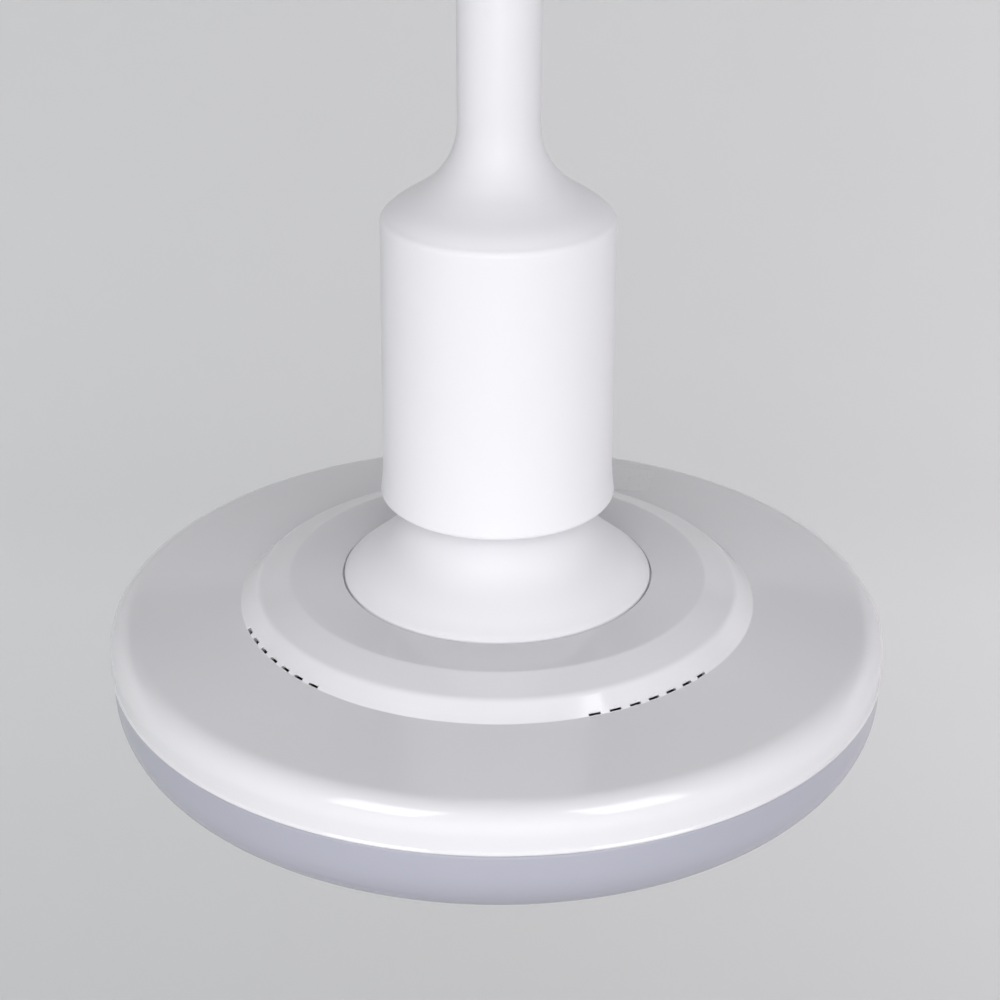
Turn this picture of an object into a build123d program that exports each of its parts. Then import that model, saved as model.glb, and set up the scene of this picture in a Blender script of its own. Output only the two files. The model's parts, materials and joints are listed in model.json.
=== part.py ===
from build123d import *
from math import cos, sin, radians, pi, tan, sqrt
import os

os.makedirs("parts", exist_ok=True)

# A rigid-stem pendant lamp. Millimetres, +Z up. The origin is the middle of the
# ceiling face of the ceiling plate, so the whole lamp hangs below Z = 0.

# ---------------------------------------------------------------- dimensions
drop = 455.0            # ceiling face down to the lower edge of the disc's rim

stem_r = 12.4           # outer radius of the cover tube and the housing's neck
stem_wall = 1.2
carrier_r = 5.0         # M10 x 1 hollow threaded tube
carrier_bore = 3.9
bush_bore = 5.1

plate_r = 48.0          # ceiling plate
plate_t = 1.8
slot_spacing = 76.0     # ceiling screw slots, centre to centre
slot_width = 4.6
slot_length = 12.0
canopy_r = 55.0
canopy_h = 46.0
canopy_wall = 1.0
canopy_hole_r = 12.9
collar_bore = 12.5
collar_r = 18.5
collar_h = 11.0

cup_r = 36.0            # lampholder housing
cup_lip_r = 36.7
cup_bottom = 53.7       # heights with a name are above the rim's lower edge
shoulder_z = 143.9
flare_r = 23.5
flare_top = 173.3
neck_top = 233.0

thread_pitch = 3.629    # E27 screw cap
thread_crest = 13.1
thread_root = 12.3
tip_z = 106.5

disc_r = 124.9          # disc lamp
rim_r = 124.6
cover_wall = 2.0
plateau_z = 25.7
plateau_r = 66.6
crest_r, crest_z = 77.0, 22.2
base_r, base_z = 82.4, 17.15
flat_slope = 0.0712
neck_hole_r = 49.6
neck_base_r = 49.0
slot_groups = 4
slots_per_group = 7
slot_pitch_deg = 4.73
slot_first_group_deg = -145.95
vent_width = 3.7
diffuser_r = 123.8
diffuser_depth = 27.0

wire_r = 1.1            # insulated mains conductor
lead_r = 0.8            # leads inside the lamp


def H(z):
    """Height above the rim's lower edge turned into the lamp's own frame."""
    return z - drop


def save(item, name):
    item.part.label = name
    export_step(item.part, "parts/" + name + ".step")


def report_wire(name, item, radii, section_r, length):
    print(name, "bend radii", [round(r, 1) for r in radii],
          "volume", round(item.part.volume, 1),
          "section x length", round(pi * section_r ** 2 * length, 1),
          "length", round(length, 1))


def corner_radii(points, share=0.45):
    """One radius a corner: 0.45 of the shorter run over tan(half the turn)."""
    vs = [Vector(*p) for p in points]
    out = []
    for a, b, c in zip(vs[:-2], vs[1:-1], vs[2:]):
        run = min((b - a).length, (c - b).length)
        turn = radians((b - a).get_angle(c - b))
        out.append(share * run / tan(turn / 2))
    return out


# ================================================================= ceiling end
# Round steel plate with two slots for the ceiling screws.
with BuildPart() as ceiling_plate:
    with BuildSketch(Plane.XY.offset(-plate_t)):
        Circle(plate_r)
        Circle(9.0, mode=Mode.SUBTRACT)
        with Locations((-slot_spacing / 2, 0), (slot_spacing / 2, 0)):
            SlotOverall(slot_length, slot_width, mode=Mode.SUBTRACT)
        with Locations((-23, 0), (23, 0), (-14, -27)):
            Circle(2.0, mode=Mode.SUBTRACT)
        with Locations((4.5, 26)):
            Circle(1.4, mode=Mode.SUBTRACT)
    extrude(amount=plate_t)
    fillet(ceiling_plate.edges().filter_by(GeomType.CIRCLE)
           .filter_by(lambda e: e.radius > 40).sort_by(Axis.Z)[0:1], 0.8)
save(ceiling_plate, "ceiling_plate")

# Rubber grommet in the plate's cable hole.
with BuildPart() as cable_grommet:
    with BuildSketch(Plane.XZ):
        with BuildLine():
            Polyline((6.5, -0.2), (9.0, -0.2), (9.0, -plate_t), (10.8, -plate_t),
                     (10.8, -3.0), (6.5, -3.0), close=True)
        make_face()
    revolve(axis=Axis.Z)
save(cable_grommet, "cable_grommet")

# U-shaped strap: two flanges under the plate, a web that carries the stem.
with BuildPart() as hanger_yoke:
    with BuildSketch(Plane.XZ):
        with BuildLine():
            FilletPolyline((-30, -1.8), (-15.4, -1.8), (-15.4, -34), (15.4, -34),
                           (15.4, -1.8), (30, -1.8), (30, -3.4), (17, -3.4),
                           (17, -35.6), (-17, -35.6), (-17, -3.4), (-30, -3.4),
                           radius=[0, 1.4, 1.2, 1.2, 1.4, 0, 0, 0.6, 2.4, 2.4, 0.6, 0],
                           close=True)
        make_face()
    extrude(amount=9, both=True)
    with Locations((0, 0, -34)):
        Hole(5.15, depth=2)
    with Locations((-23, 0, -1.8), (23, 0, -1.8)):
        Hole(2.15, depth=2)
save(hanger_yoke, "hanger_yoke")

# Two M4 pan-head screws hold the yoke to the plate.
with BuildPart() as yoke_screws:
    with Locations((-23, 0, -3.4), (23, 0, -3.4)):
        Cylinder(3.8, 2.4, align=(Align.CENTER, Align.CENTER, Align.MAX))
        Cylinder(2.0, 3.2, align=(Align.CENTER, Align.CENTER, Align.MIN))
    fillet(yoke_screws.edges().filter_by(GeomType.CIRCLE).group_by(Axis.Z)[0], 1.0)
    with Locations((-23, 0, -5.8), (23, 0, -5.8)):
        Box(5.0, 0.9, 1.1, align=(Align.CENTER, Align.CENTER, Align.MIN),
            mode=Mode.SUBTRACT)
        Box(0.9, 5.0, 1.1, align=(Align.CENTER, Align.CENTER, Align.MIN),
            mode=Mode.SUBTRACT)
save(yoke_screws, "yoke_screws")

# Three-pole terminal block under the plate.
poles = (-9.0, 0.0, 9.0)
with BuildPart() as terminal_block:
    with Locations((0, 26, -1.8)):
        Box(30, 16, 14, align=(Align.CENTER, Align.CENTER, Align.MAX))
    fillet(terminal_block.edges().filter_by(Axis.Z), 1.5)
    with BuildSketch(Plane.XZ.offset(-34)):
        with Locations(*[(x, -9.0) for x in poles]):
            Circle(2.6)
    extrude(amount=16, mode=Mode.SUBTRACT)
    with BuildSketch(Plane.XY.offset(-15.8)):
        with Locations(*[(x, y) for x in poles for y in (22, 30)]):
            Circle(2.0)
    extrude(amount=5.0, mode=Mode.SUBTRACT)
    with BuildSketch(Plane.XY.offset(-15.8)):
        with Locations((4.5, 26)):
            Circle(1.45)
    extrude(amount=14.0, mode=Mode.SUBTRACT)
    with BuildSketch(Plane.XY.offset(-15.8)):
        with Locations((4.5, 26)):
            Circle(2.4)
    extrude(amount=1.8, mode=Mode.SUBTRACT)
save(terminal_block, "terminal_block")

# Brass barrels in the block's three poles.
with BuildPart() as terminal_inserts:
    with BuildSketch(Plane.XZ.offset(-32.5)):
        with Locations(*[(x, -9.0) for x in poles]):
            Circle(2.6)
            Circle(1.6, mode=Mode.SUBTRACT)
    extrude(amount=13)
    with BuildSketch(Plane.XY.offset(-12.0)):
        with Locations(*[(x, y) for x in poles for y in (22, 30)]):
            Circle(1.3)
    extrude(amount=2.0, mode=Mode.SUBTRACT)
save(terminal_inserts, "terminal_inserts")

# Six clamp screws of the terminal block.
with BuildPart() as terminal_screws:
    with Locations(*[(x, y, -12.0) for x in poles for y in (22, 30)]):
        Cylinder(1.9, 2.4, align=(Align.CENTER, Align.CENTER, Align.MAX))
        Cylinder(1.3, 1.85, align=(Align.CENTER, Align.CENTER, Align.MIN))
    with Locations(*[(x, y, -14.4) for x in poles for y in (22, 30)]):
        Box(3.2, 0.6, 0.9, align=(Align.CENTER, Align.CENTER, Align.MIN),
            mode=Mode.SUBTRACT)
save(terminal_screws, "terminal_screws")

with BuildPart() as terminal_block_screw:
    with Locations((4.5, 26, -14.0)):
        Cylinder(2.3, 1.5, align=(Align.CENTER, Align.CENTER, Align.MAX))
        Cylinder(1.4, 13.8, align=(Align.CENTER, Align.CENTER, Align.MIN))
    with Locations((4.5, 26, -15.5)):
        Box(3.6, 0.7, 0.8, align=(Align.CENTER, Align.CENTER, Align.MIN),
            mode=Mode.SUBTRACT)
save(terminal_block_screw, "terminal_block_screw")

# Earth screw of the plate and the ring lug under it.
with BuildPart() as earth_screw:
    with Locations((-14, -27, -2.6)):
        Cylinder(3.8, 2.4, align=(Align.CENTER, Align.CENTER, Align.MAX))
        Cylinder(2.0, 2.4, align=(Align.CENTER, Align.CENTER, Align.MIN))
    fillet(earth_screw.edges().filter_by(GeomType.CIRCLE).group_by(Axis.Z)[0], 1.0)
    with Locations((-14, -27, -5.0)):
        Box(5.0, 0.9, 1.0, align=(Align.CENTER, Align.CENTER, Align.MIN),
            mode=Mode.SUBTRACT)
save(earth_screw, "earth_screw")

with BuildPart() as earth_lug:
    with BuildSketch(Plane.XY.offset(-2.6)):
        with Locations((-14, -27)):
            Circle(5.0)
            Circle(2.05, mode=Mode.SUBTRACT)
    extrude(amount=0.8)
    with BuildSketch(Plane.XZ.offset(22.6)):
        with Locations((-14, -3.8)):
            Circle(1.9)
    extrude(amount=-5.0)
    with BuildSketch(Plane.XZ.offset(21.8)):
        with Locations((-14, -3.8)):
            Circle(wire_r)
    extrude(amount=-5.0, mode=Mode.SUBTRACT)
save(earth_lug, "earth_lug")

# ---- conductors: straight runs joined by tangent arcs, held along their route
earth_path = [(-9, 26.5, -9), (-9, -6, -9), (-14, -14, -3.8), (-14, -21.6, -3.8)]
earth_radii = corner_radii(earth_path)
with BuildPart() as earth_wire:
    with BuildLine():
        earth_line = FilletPolyline(*earth_path, radius=earth_radii)
    with BuildSketch(Plane(origin=earth_path[0], z_dir=(0, -1, 0))):
        Circle(wire_r)
    sweep()
save(earth_wire, "earth_wire")
report_wire("earth_wire", earth_wire, earth_radii, wire_r, earth_line.length)

live_path = [(9, 26.5, -9), (8.5, 8, -9), (1.3, 0, -16.5), (1.3, 0, H(129)),
             (6.5, 0, H(121.1)), (14.3, 0, H(121.1))]
live_radii = corner_radii(live_path)
with BuildPart() as live_wire:
    with BuildLine():
        live_line = FilletPolyline(*live_path, radius=live_radii)
    with BuildSketch(Plane(origin=live_path[0],
                           z_dir=Vector(*live_path[1]) - Vector(*live_path[0]))):
        Circle(wire_r)
    sweep()
save(live_wire, "live_wire")
report_wire("live_wire", live_wire, live_radii, wire_r, live_line.length)

neutral_path = [(0, 26.5, -9), (-0.2, 8, -9), (-1.3, 0, -17.0), (-1.3, 0, H(129)),
                (-6.5, 0, H(121.1)), (-14.3, 0, H(121.1))]
neutral_radii = corner_radii(neutral_path)
with BuildPart() as neutral_wire:
    with BuildLine():
        neutral_line = FilletPolyline(*neutral_path, radius=neutral_radii)
    with BuildSketch(Plane(origin=neutral_path[0],
                           z_dir=Vector(*neutral_path[1]) - Vector(*neutral_path[0]))):
        Circle(wire_r)
    sweep()
save(neutral_wire, "neutral_wire")
report_wire("neutral_wire", neutral_wire, neutral_radii, wire_r, neutral_line.length)

# Canopy: a spun steel cup, open to the ceiling, that slides on the stem.
with BuildPart() as canopy:
    with BuildSketch(Plane.XZ):
        with BuildLine():
            FilletPolyline((canopy_r, 0), (canopy_r, -canopy_h),
                           (canopy_hole_r, -canopy_h),
                           (canopy_hole_r, -canopy_h + canopy_wall),
                           (canopy_r - canopy_wall, -canopy_h + canopy_wall),
                           (canopy_r - canopy_wall, 0),
                           radius=[0, 16, 0, 0, 15, 0], close=True)
        make_face()
    revolve(axis=Axis.Z)
save(canopy, "canopy")

# Collar that grips the stem with a grub screw and holds the canopy up.
with BuildPart() as canopy_collar:
    with BuildSketch(Plane.XZ):
        with BuildLine():
            FilletPolyline((collar_bore, -canopy_h), (collar_r, -canopy_h),
                           (collar_r, -canopy_h - collar_h),
                           (collar_bore, -canopy_h - collar_h),
                           radius=[0.3, 0.6, 2.2, 0.5], close=True)
        make_face()
    revolve(axis=Axis.Z)
    with BuildSketch(Plane.XZ.offset(-20)):
        with Locations((0, -canopy_h - 5.5)):
            Circle(1.5)
    extrude(amount=9, mode=Mode.SUBTRACT)
save(canopy_collar, "canopy_collar")

with BuildPart() as collar_grub_screw:
    with BuildSketch(Plane.XZ.offset(-17.9)):
        with Locations((0, -canopy_h - 5.5)):
            Circle(1.5)
    extrude(amount=5.3)
    with BuildSketch(Plane.XZ.offset(-17.9)):
        with Locations((0, -canopy_h - 5.5)):
            RegularPolygon(0.85, 6)
    extrude(amount=1.6, mode=Mode.SUBTRACT)
save(collar_grub_screw, "collar_grub_screw")

# ======================================================================== stem
# Hollow threaded tube from the yoke to the lampholder; the wires run in it.
with BuildPart() as carrier_tube:
    with BuildSketch(Plane.XY.offset(H(132.0))):
        Circle(carrier_r)
        Circle(carrier_bore, mode=Mode.SUBTRACT)
    extrude(amount=-27.5 - H(132.0))
    chamfer(carrier_tube.edges().filter_by(GeomType.CIRCLE)
            .filter_by(lambda e: e.radius > 4.5), 0.4)
save(carrier_tube, "carrier_tube")

# Hexagon lock nuts on the carrier tube.
nut_seats = (-33.2, -38.1, H(142.5))
with BuildPart() as lock_nuts:
    for seat in nut_seats:
        with BuildSketch(Plane.XY.offset(seat)):
            RegularPolygon(7.0, 6, major_radius=False)
            Circle(carrier_r, mode=Mode.SUBTRACT)
        extrude(amount=2.5)
save(lock_nuts, "lock_nuts")

with BuildPart() as lock_washers:
    for seat, outer in ((-34.0, 8.6), (H(145.0), 10.5)):
        with BuildSketch(Plane.XY.offset(seat)):
            Circle(outer)
            Circle(carrier_r + 0.2, mode=Mode.SUBTRACT)
        extrude(amount=0.8 if seat > -100 else 1.0)
save(lock_washers, "lock_washers")

# Turned bush that closes the cover tube's upper end under the yoke.
with BuildPart() as top_bush:
    with BuildSketch(Plane.XZ):
        with BuildLine():
            Polyline((bush_bore, -38.1), (stem_r, -38.1), (stem_r, -40.1),
                     (stem_r - stem_wall - 0.05, -40.1),
                     (stem_r - stem_wall - 0.05, -52.0), (bush_bore, -52.0),
                     close=True)
        make_face()
    revolve(axis=Axis.Z)
save(top_bush, "top_bush")

with BuildPart() as stem_tube:
    with BuildSketch(Plane.XY.offset(H(neck_top))):
        Circle(stem_r)
        Circle(stem_r - stem_wall, mode=Mode.SUBTRACT)
    extrude(amount=-40.1 - H(neck_top))
    fillet(stem_tube.edges().filter_by(GeomType.CIRCLE)
           .filter_by(lambda e: e.radius > 12), 0.3)
save(stem_tube, "stem_tube")

# Stepped bush between the cover tube and the housing's neck.
with BuildPart() as joint_bush:
    with BuildSketch(Plane.XZ):
        with BuildLine():
            Polyline((bush_bore, H(219)), (10.35, H(219)), (10.35, H(neck_top)),
                     (11.15, H(neck_top)), (11.15, H(247)), (bush_bore, H(247)),
                     close=True)
        make_face()
    revolve(axis=Axis.Z)
save(joint_bush, "joint_bush")

# ================================================================= lampholder
# One moulded shell: neck, concave flare, sloping shoulder, cup with a lip.
flare_c = stem_r + flare_r
flare_mid = (flare_c - flare_r * cos(0.43), H(flare_top - flare_r * sin(0.43)))
flare_end = (flare_c - flare_r * cos(0.86), H(flare_top - flare_r * sin(0.86)))
with BuildPart() as lampholder_housing:
    with BuildSketch(Plane.XZ):
        with BuildLine():
            Line((10.4, H(neck_top)), (stem_r, H(neck_top)))
            Line((stem_r, H(neck_top)), (stem_r, H(flare_top)))
            ThreePointArc((stem_r, H(flare_top)), flare_mid, flare_end)
            Line(flare_end, (24.9, H(150.7)))
            Line((24.9, H(150.7)), (34.3, H(144.7)))
            ThreePointArc((34.3, H(144.7)), (35.3, H(143.75)), (35.6, H(142.4)))
            Line((35.6, H(142.4)), (cup_r, H(64.5)))
            ThreePointArc((cup_r, H(64.5)), (36.22, H(60.0)), (cup_lip_r, H(55.7)))
            ThreePointArc((cup_lip_r, H(55.7)), (36.45, H(54.3)), (35.3, H(cup_bottom)))
            Line((35.3, H(cup_bottom)), (34.4, H(cup_bottom)))
            Polyline((34.4, H(cup_bottom)), (33.9, H(54.6)), (33.4, H(140.5)),
                     (25.0, H(146.0)), (5.3, H(146.0)), (5.3, H(150.0)),
                     (17.0, H(150.0)), (17.5, H(154.5)), (13.5, H(160.5)),
                     (10.4, H(170.0)), (10.4, H(neck_top)))
        make_face()
    revolve(axis=Axis.Z)
save(lampholder_housing, "lampholder_housing")

# Domed cap of the lampholder, threaded on the carrier tube.
with BuildPart() as holder_dome:
    with BuildSketch(Plane.XZ):
        with BuildLine():
            Polyline((carrier_r, H(139)), (8.5, H(139)), (8.5, H(134.6)),
                     (15.5, H(133.2)), (18.6, H(131.2)), (20.0, H(128)),
                     (20.0, H(112)), (18.2, H(112)), (18.2, H(127)),
                     (15.5, H(130.6)), (carrier_r, H(130.6)), close=True)
        make_face()
    revolve(axis=Axis.Z)
    with BuildSketch(Plane.XZ.offset(-9.5)):
        with Locations((0, H(136.8))):
            Circle(1.3)
    extrude(amount=4.5, mode=Mode.SUBTRACT)
save(holder_dome, "holder_dome")

with BuildPart() as dome_grub_screw:
    with BuildSketch(Plane.XZ.offset(-8.4)):
        with Locations((0, H(136.8))):
            Circle(1.3)
    extrude(amount=3.4)
    with BuildSketch(Plane.XZ.offset(-8.4)):
        with Locations((0, H(136.8))):
            Rectangle(2.2, 0.5)
    extrude(amount=0.9, mode=Mode.SUBTRACT)
save(dome_grub_screw, "dome_grub_screw")

# Insulating block that carries the contacts; a pocket for the sprung contact.
with BuildPart() as contact_block:
    with BuildSketch(Plane.XY.offset(H(107))):
        Circle(17.6)
    extrude(amount=12)
    with BuildSketch(Plane.XY.offset(H(107))):
        Circle(4.4)
    extrude(amount=9, mode=Mode.SUBTRACT)
    with BuildSketch(Plane.XY.offset(H(116))):
        Circle(1.65)
    extrude(amount=3, mode=Mode.SUBTRACT)
    with BuildSketch(Plane.XY.offset(H(107))):
        with Locations((-11.4, 0)):
            Circle(1.0)
    extrude(amount=12, mode=Mode.SUBTRACT)
    chamfer(contact_block.edges().filter_by(GeomType.CIRCLE)
            .filter_by(lambda e: e.radius > 17).sort_by(Axis.Z)[-1:], 1.0)
save(contact_block, "contact_block")

# Brass terminal of the centre contact: post and a ring round the plunger.
with BuildPart() as live_terminal:
    with Locations((12.5, 0, H(119))):
        Box(6, 6, 4.6, align=(Align.CENTER, Align.CENTER, Align.MIN))
    with BuildSketch(Plane.XY.offset(H(119))):
        Circle(4.0)
        with Locations((6.0, 0)):
            Rectangle(8.0, 4.0)
        Circle(1.62, mode=Mode.SUBTRACT)
    extrude(amount=0.6)
    with BuildSketch(Plane.YZ.offset(9)):
        with Locations((0, H(121.1))):
            Circle(wire_r)
    extrude(amount=5.6, mode=Mode.SUBTRACT)
    with BuildSketch(Plane.XY.offset(H(122.0))):
        with Locations((12.5, 0)):
            Circle(1.2)
    extrude(amount=2, mode=Mode.SUBTRACT)
save(live_terminal, "live_terminal")

# Brass terminal of the screw shell: post and a pin through the block.
with BuildPart() as neutral_terminal:
    with Locations((-12.5, 0, H(119))):
        Box(6, 6, 4.6, align=(Align.CENTER, Align.CENTER, Align.MIN))
    with Locations((-11.4, 0, H(119.2))):
        Cylinder(1.0, 12.2, align=(Align.CENTER, Align.CENTER, Align.MAX))
    with BuildSketch(Plane.YZ.offset(-9)):
        with Locations((0, H(121.1))):
            Circle(wire_r)
    extrude(amount=-5.6, mode=Mode.SUBTRACT)
    with BuildSketch(Plane.XY.offset(H(122.0))):
        with Locations((-12.5, 0)):
            Circle(1.2)
    extrude(amount=2, mode=Mode.SUBTRACT)
save(neutral_terminal, "neutral_terminal")

with BuildPart() as holder_terminal_screws:
    with Locations((-12.5, 0, H(123.6)), (12.5, 0, H(123.6))):
        Cylinder(2.0, 1.6, align=(Align.CENTER, Align.CENTER, Align.MIN))
        Cylinder(1.2, 1.35, align=(Align.CENTER, Align.CENTER, Align.MAX))
    with Locations((-12.5, 0, H(125.2)), (12.5, 0, H(125.2))):
        Box(0.6, 3.4, 0.7, align=(Align.CENTER, Align.CENTER, Align.MAX),
            mode=Mode.SUBTRACT)
save(holder_terminal_screws, "holder_terminal_screws")

# Screw shell: sleeve round the lamp's thread, flange trapped under the block.
with BuildPart() as screw_shell:
    with BuildSketch(Plane.XZ):
        with BuildLine():
            Polyline((9.0, H(107)), (13.85, H(107)), (13.85, H(82)), (13.45, H(82)),
                     (13.45, H(106.6)), (9.0, H(106.6)), close=True)
        make_face()
    revolve(axis=Axis.Z)
save(screw_shell, "screw_shell")

# Insulating skirt; a ledge inside carries the contact block.
with BuildPart() as holder_skirt:
    with BuildSketch(Plane.XZ):
        with BuildLine():
            Polyline((20.0, H(112)), (20.0, H(81.0)), (19.0, H(80)), (15.2, H(80)),
                     (14.6, H(80.8)), (14.6, H(82.5)), (17.8, H(84.0)),
                     (17.8, H(104.0)), (14.4, H(105.4)), (14.4, H(107)),
                     (17.7, H(107)), (17.7, H(117)), (18.15, H(117)),
                     (18.15, H(112)), close=True)
        make_face()
    revolve(axis=Axis.Z)
save(holder_skirt, "holder_skirt")

# Sprung centre contact: head, pin and stop ring.
with BuildPart() as centre_contact:
    with BuildSketch(Plane.XZ):
        with BuildLine():
            Polyline((0, H(tip_z)), (3.4, H(tip_z)), (3.9, H(107)), (3.9, H(108.4)),
                     (1.5, H(108.4)), (1.5, H(122.6)), (2.6, H(122.6)),
                     (2.6, H(123.8)), (0, H(123.8)), close=True)
        make_face()
    revolve(axis=Axis.Z)
save(centre_contact, "centre_contact")

# Its spring, drawn at its length at rest.
with BuildPart() as contact_spring:
    with BuildLine(Plane.XY.offset(H(108.8))):
        coil = Helix(pitch=1.55, height=6.8, radius=2.95)
    with BuildSketch(Plane(origin=coil @ 0, z_dir=coil % 0)):
        Circle(0.3)
    sweep(is_frenet=True)
save(contact_spring, "contact_spring")

# ======================================================================== lamp
# Screw cap: nickelled shell. The thread is drawn as rings at its real pitch.
outer = [(13.9, H(79.0)), (13.9, H(80.2)), (thread_root, H(81.0))]
for k in range(5):
    z0 = 81.4 + k * thread_pitch
    outer += [(thread_crest, H(z0 + 1.0)), (thread_crest, H(z0 + 1.7)),
              (thread_root, H(z0 + 2.7)), (thread_root, H(z0 + 3.3))]
outer += [(thread_root, H(100.4)), (11.4, H(101.3))]
inner = [(r - 0.4, z) for r, z in reversed(outer)]
with BuildPart() as cap_shell:
    with BuildSketch(Plane.XZ):
        with BuildLine():
            Polyline(*outer, *inner, close=True)
        make_face()
    revolve(axis=Axis.Z)
save(cap_shell, "cap_shell")

with BuildPart() as cap_insulator:
    with BuildSketch(Plane.XZ):
        with BuildLine():
            Polyline((1.0, H(99.6)), (10.9, H(99.6)), (10.9, H(101.3)),
                     (11.4, H(101.3)), (10.6, H(102.2)), (5.6, H(105.0)),
                     (1.0, H(105.0)), close=True)
        make_face()
    revolve(axis=Axis.Z)
save(cap_insulator, "cap_insulator")

with BuildPart() as cap_tip:
    with BuildSketch(Plane.XZ):
        with BuildLine():
            Polyline((0, H(105.0)), (4.8, H(105.0)), (4.6, H(105.6)),
                     (3.2, H(106.3)), (1.6, H(tip_z)), (0, H(tip_z)), close=True)
        make_face()
    revolve(axis=Axis.Z)
save(cap_tip, "cap_tip")

# Lamp neck: a hollow concave cone with a flange under the cover's plateau.
with BuildPart() as lamp_neck:
    with BuildSketch(Plane.XZ):
        with BuildLine():
            Polyline((62.0, H(21.7)), (62.0, H(23.7)), (neck_base_r, H(23.7)),
                     (neck_base_r, H(26.2)))
            Spline((neck_base_r, H(26.2)), (42.0, H(32.0)), (34.6, H(39.0)),
                   (30.0, H(46.0)), (26.3, H(53.5)), (22.6, H(62.0)),
                   (18.6, H(71.0)), (16.2, H(76.5)))
            Polyline((16.2, H(76.5)), (15.6, H(77.2)), (15.6, H(79.0)),
                     (11.7, H(79.0)), (11.7, H(95.0)), (9.7, H(95.0)),
                     (9.7, H(79.0)), (13.6, H(75.6)))
            Spline((13.6, H(75.6)), (16.6, H(69.4)), (20.6, H(60.6)),
                   (24.2, H(52.4)), (27.9, H(44.8)), (32.6, H(37.6)),
                   (40.0, H(30.6)), (46.6, H(25.0)))
            Polyline((46.6, H(25.0)), (46.6, H(21.7)), (62.0, H(21.7)))
        make_face()
    revolve(axis=Axis.Z)
    with BuildSketch(Plane.XY.offset(H(21.7))):
        with PolarLocations(56, 4, start_angle=45):
            Circle(1.7)
    extrude(amount=2, mode=Mode.SUBTRACT)
save(lamp_neck, "lamp_neck")

with BuildPart() as neck_screws:
    with BuildSketch(Plane.XY.offset(H(20.1))):
        with PolarLocations(56, 4, start_angle=45):
            Circle(2.8)
    extrude(amount=1.6)
    with BuildSketch(Plane.XY.offset(H(21.7))):
        with PolarLocations(56, 4, start_angle=45):
            Circle(1.35)
    extrude(amount=3.3)
    with BuildSketch(Plane.XY.offset(H(20.1))):
        with PolarLocations(56, 4, start_angle=45):
            Rectangle(3.6, 0.7)
            Rectangle(0.7, 3.6)
    extrude(amount=0.8, mode=Mode.SUBTRACT)
save(neck_screws, "neck_screws")

# Top cover of the disc: plateau, facet, steep ring, flat and rolled rim.
corner_z = base_z - flat_slope * (disc_r - base_r)
with BuildPart() as top_cover:
    with BuildSketch(Plane.XZ):
        with BuildLine():
            FilletPolyline(
                (neck_hole_r, H(plateau_z - cover_wall)), (neck_hole_r, H(plateau_z)),
                (plateau_r, H(plateau_z)), (crest_r, H(crest_z)), (base_r, H(base_z)),
                (disc_r, H(corner_z)), (rim_r, H(0)), (122.5, H(0)),
                (122.8, H(corner_z - 2.0)), (base_r - 0.9, H(base_z - 2.0)),
                (crest_r - 0.8, H(crest_z - 2.0)), (plateau_r - 0.3, H(plateau_z - cover_wall)),
                radius=[0, 0.4, 1.5, 1.6, 0.5, 8.4, 0.4, 0.3, 6.5, 1.0, 1.0, 1.0],
                close=True)
        make_face()
    revolve(axis=Axis.Z)
    # posts for the board screws, with their pilot holes
    with BuildSketch(Plane.XY.offset(H(4.2))):
        with PolarLocations(100, 6, start_angle=30):
            Circle(3.2)
    extrude(amount=10.4)
    with BuildSketch(Plane.XY.offset(H(4.2))):
        with PolarLocations(100, 6, start_angle=30):
            Circle(1.35)
    extrude(amount=8.0, mode=Mode.SUBTRACT)
    # pilot holes for the neck screws
    with BuildSketch(Plane.XY.offset(H(23.0))):
        with PolarLocations(56, 4, start_angle=45):
            Circle(1.35)
    extrude(amount=2.0, mode=Mode.SUBTRACT)
    # vents: a notch in the foot of the steep ring, and the opening under it
    for g in range(slot_groups):
        for k in range(slots_per_group):
            a = (slot_first_group_deg + 90.0 * g
                 + (k - (slots_per_group - 1) / 2) * slot_pitch_deg)
            place = Plane(origin=(0, 0, H(0)), x_dir=(cos(radians(a)), sin(radians(a)), 0),
                          z_dir=(0, 0, 1))
            with BuildSketch(place.offset(17.10)):
                with Locations((82.2, 0)):
                    Rectangle(3.2, vent_width)
            extrude(amount=3.0, mode=Mode.SUBTRACT)
            with BuildSketch(place.offset(16.6)):
                with Locations((79.0, 0)):
                    Rectangle(6.2, vent_width)
            extrude(amount=1.5, mode=Mode.SUBTRACT)
save(top_cover, "top_cover")

# Blank sticker on the flat.
label_az = 80.0
with BuildPart() as blank_label:
    with BuildSketch(Plane.XZ):
        with BuildLine():
            zf = lambda r: H(base_z - flat_slope * (r - base_r))
            Polyline((83.2, zf(83.2) + 0.01), (116.0, zf(116.0) + 0.01),
                     (116.0, zf(116.0) + 0.11), (83.2, zf(83.2) + 0.11), close=True)
        make_face()
    revolve(axis=Axis.Z)
    with BuildSketch(Plane(origin=(0, 0, H(10)),
                           x_dir=(cos(radians(label_az)), sin(radians(label_az)), 0),
                           z_dir=(0, 0, 1))):
        with Locations((96.0, -12.0)):
            RectangleRounded(22.0, 54.0, 3.0)
    extrude(amount=10, mode=Mode.INTERSECT)
save(blank_label, "blank_label")

# Aluminium carrier plate of the LED board; it spreads the heat.
with BuildPart() as led_plate:
    with BuildSketch(Plane.XY.offset(H(3.0))):
        Circle(119.0)
        Circle(8.0, mode=Mode.SUBTRACT)
        with PolarLocations(100, 6, start_angle=30):
            Circle(1.7, mode=Mode.SUBTRACT)
        with PolarLocations(34, 4, start_angle=45):
            Circle(1.35, mode=Mode.SUBTRACT)
    extrude(amount=1.2)
save(led_plate, "led_plate")

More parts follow.
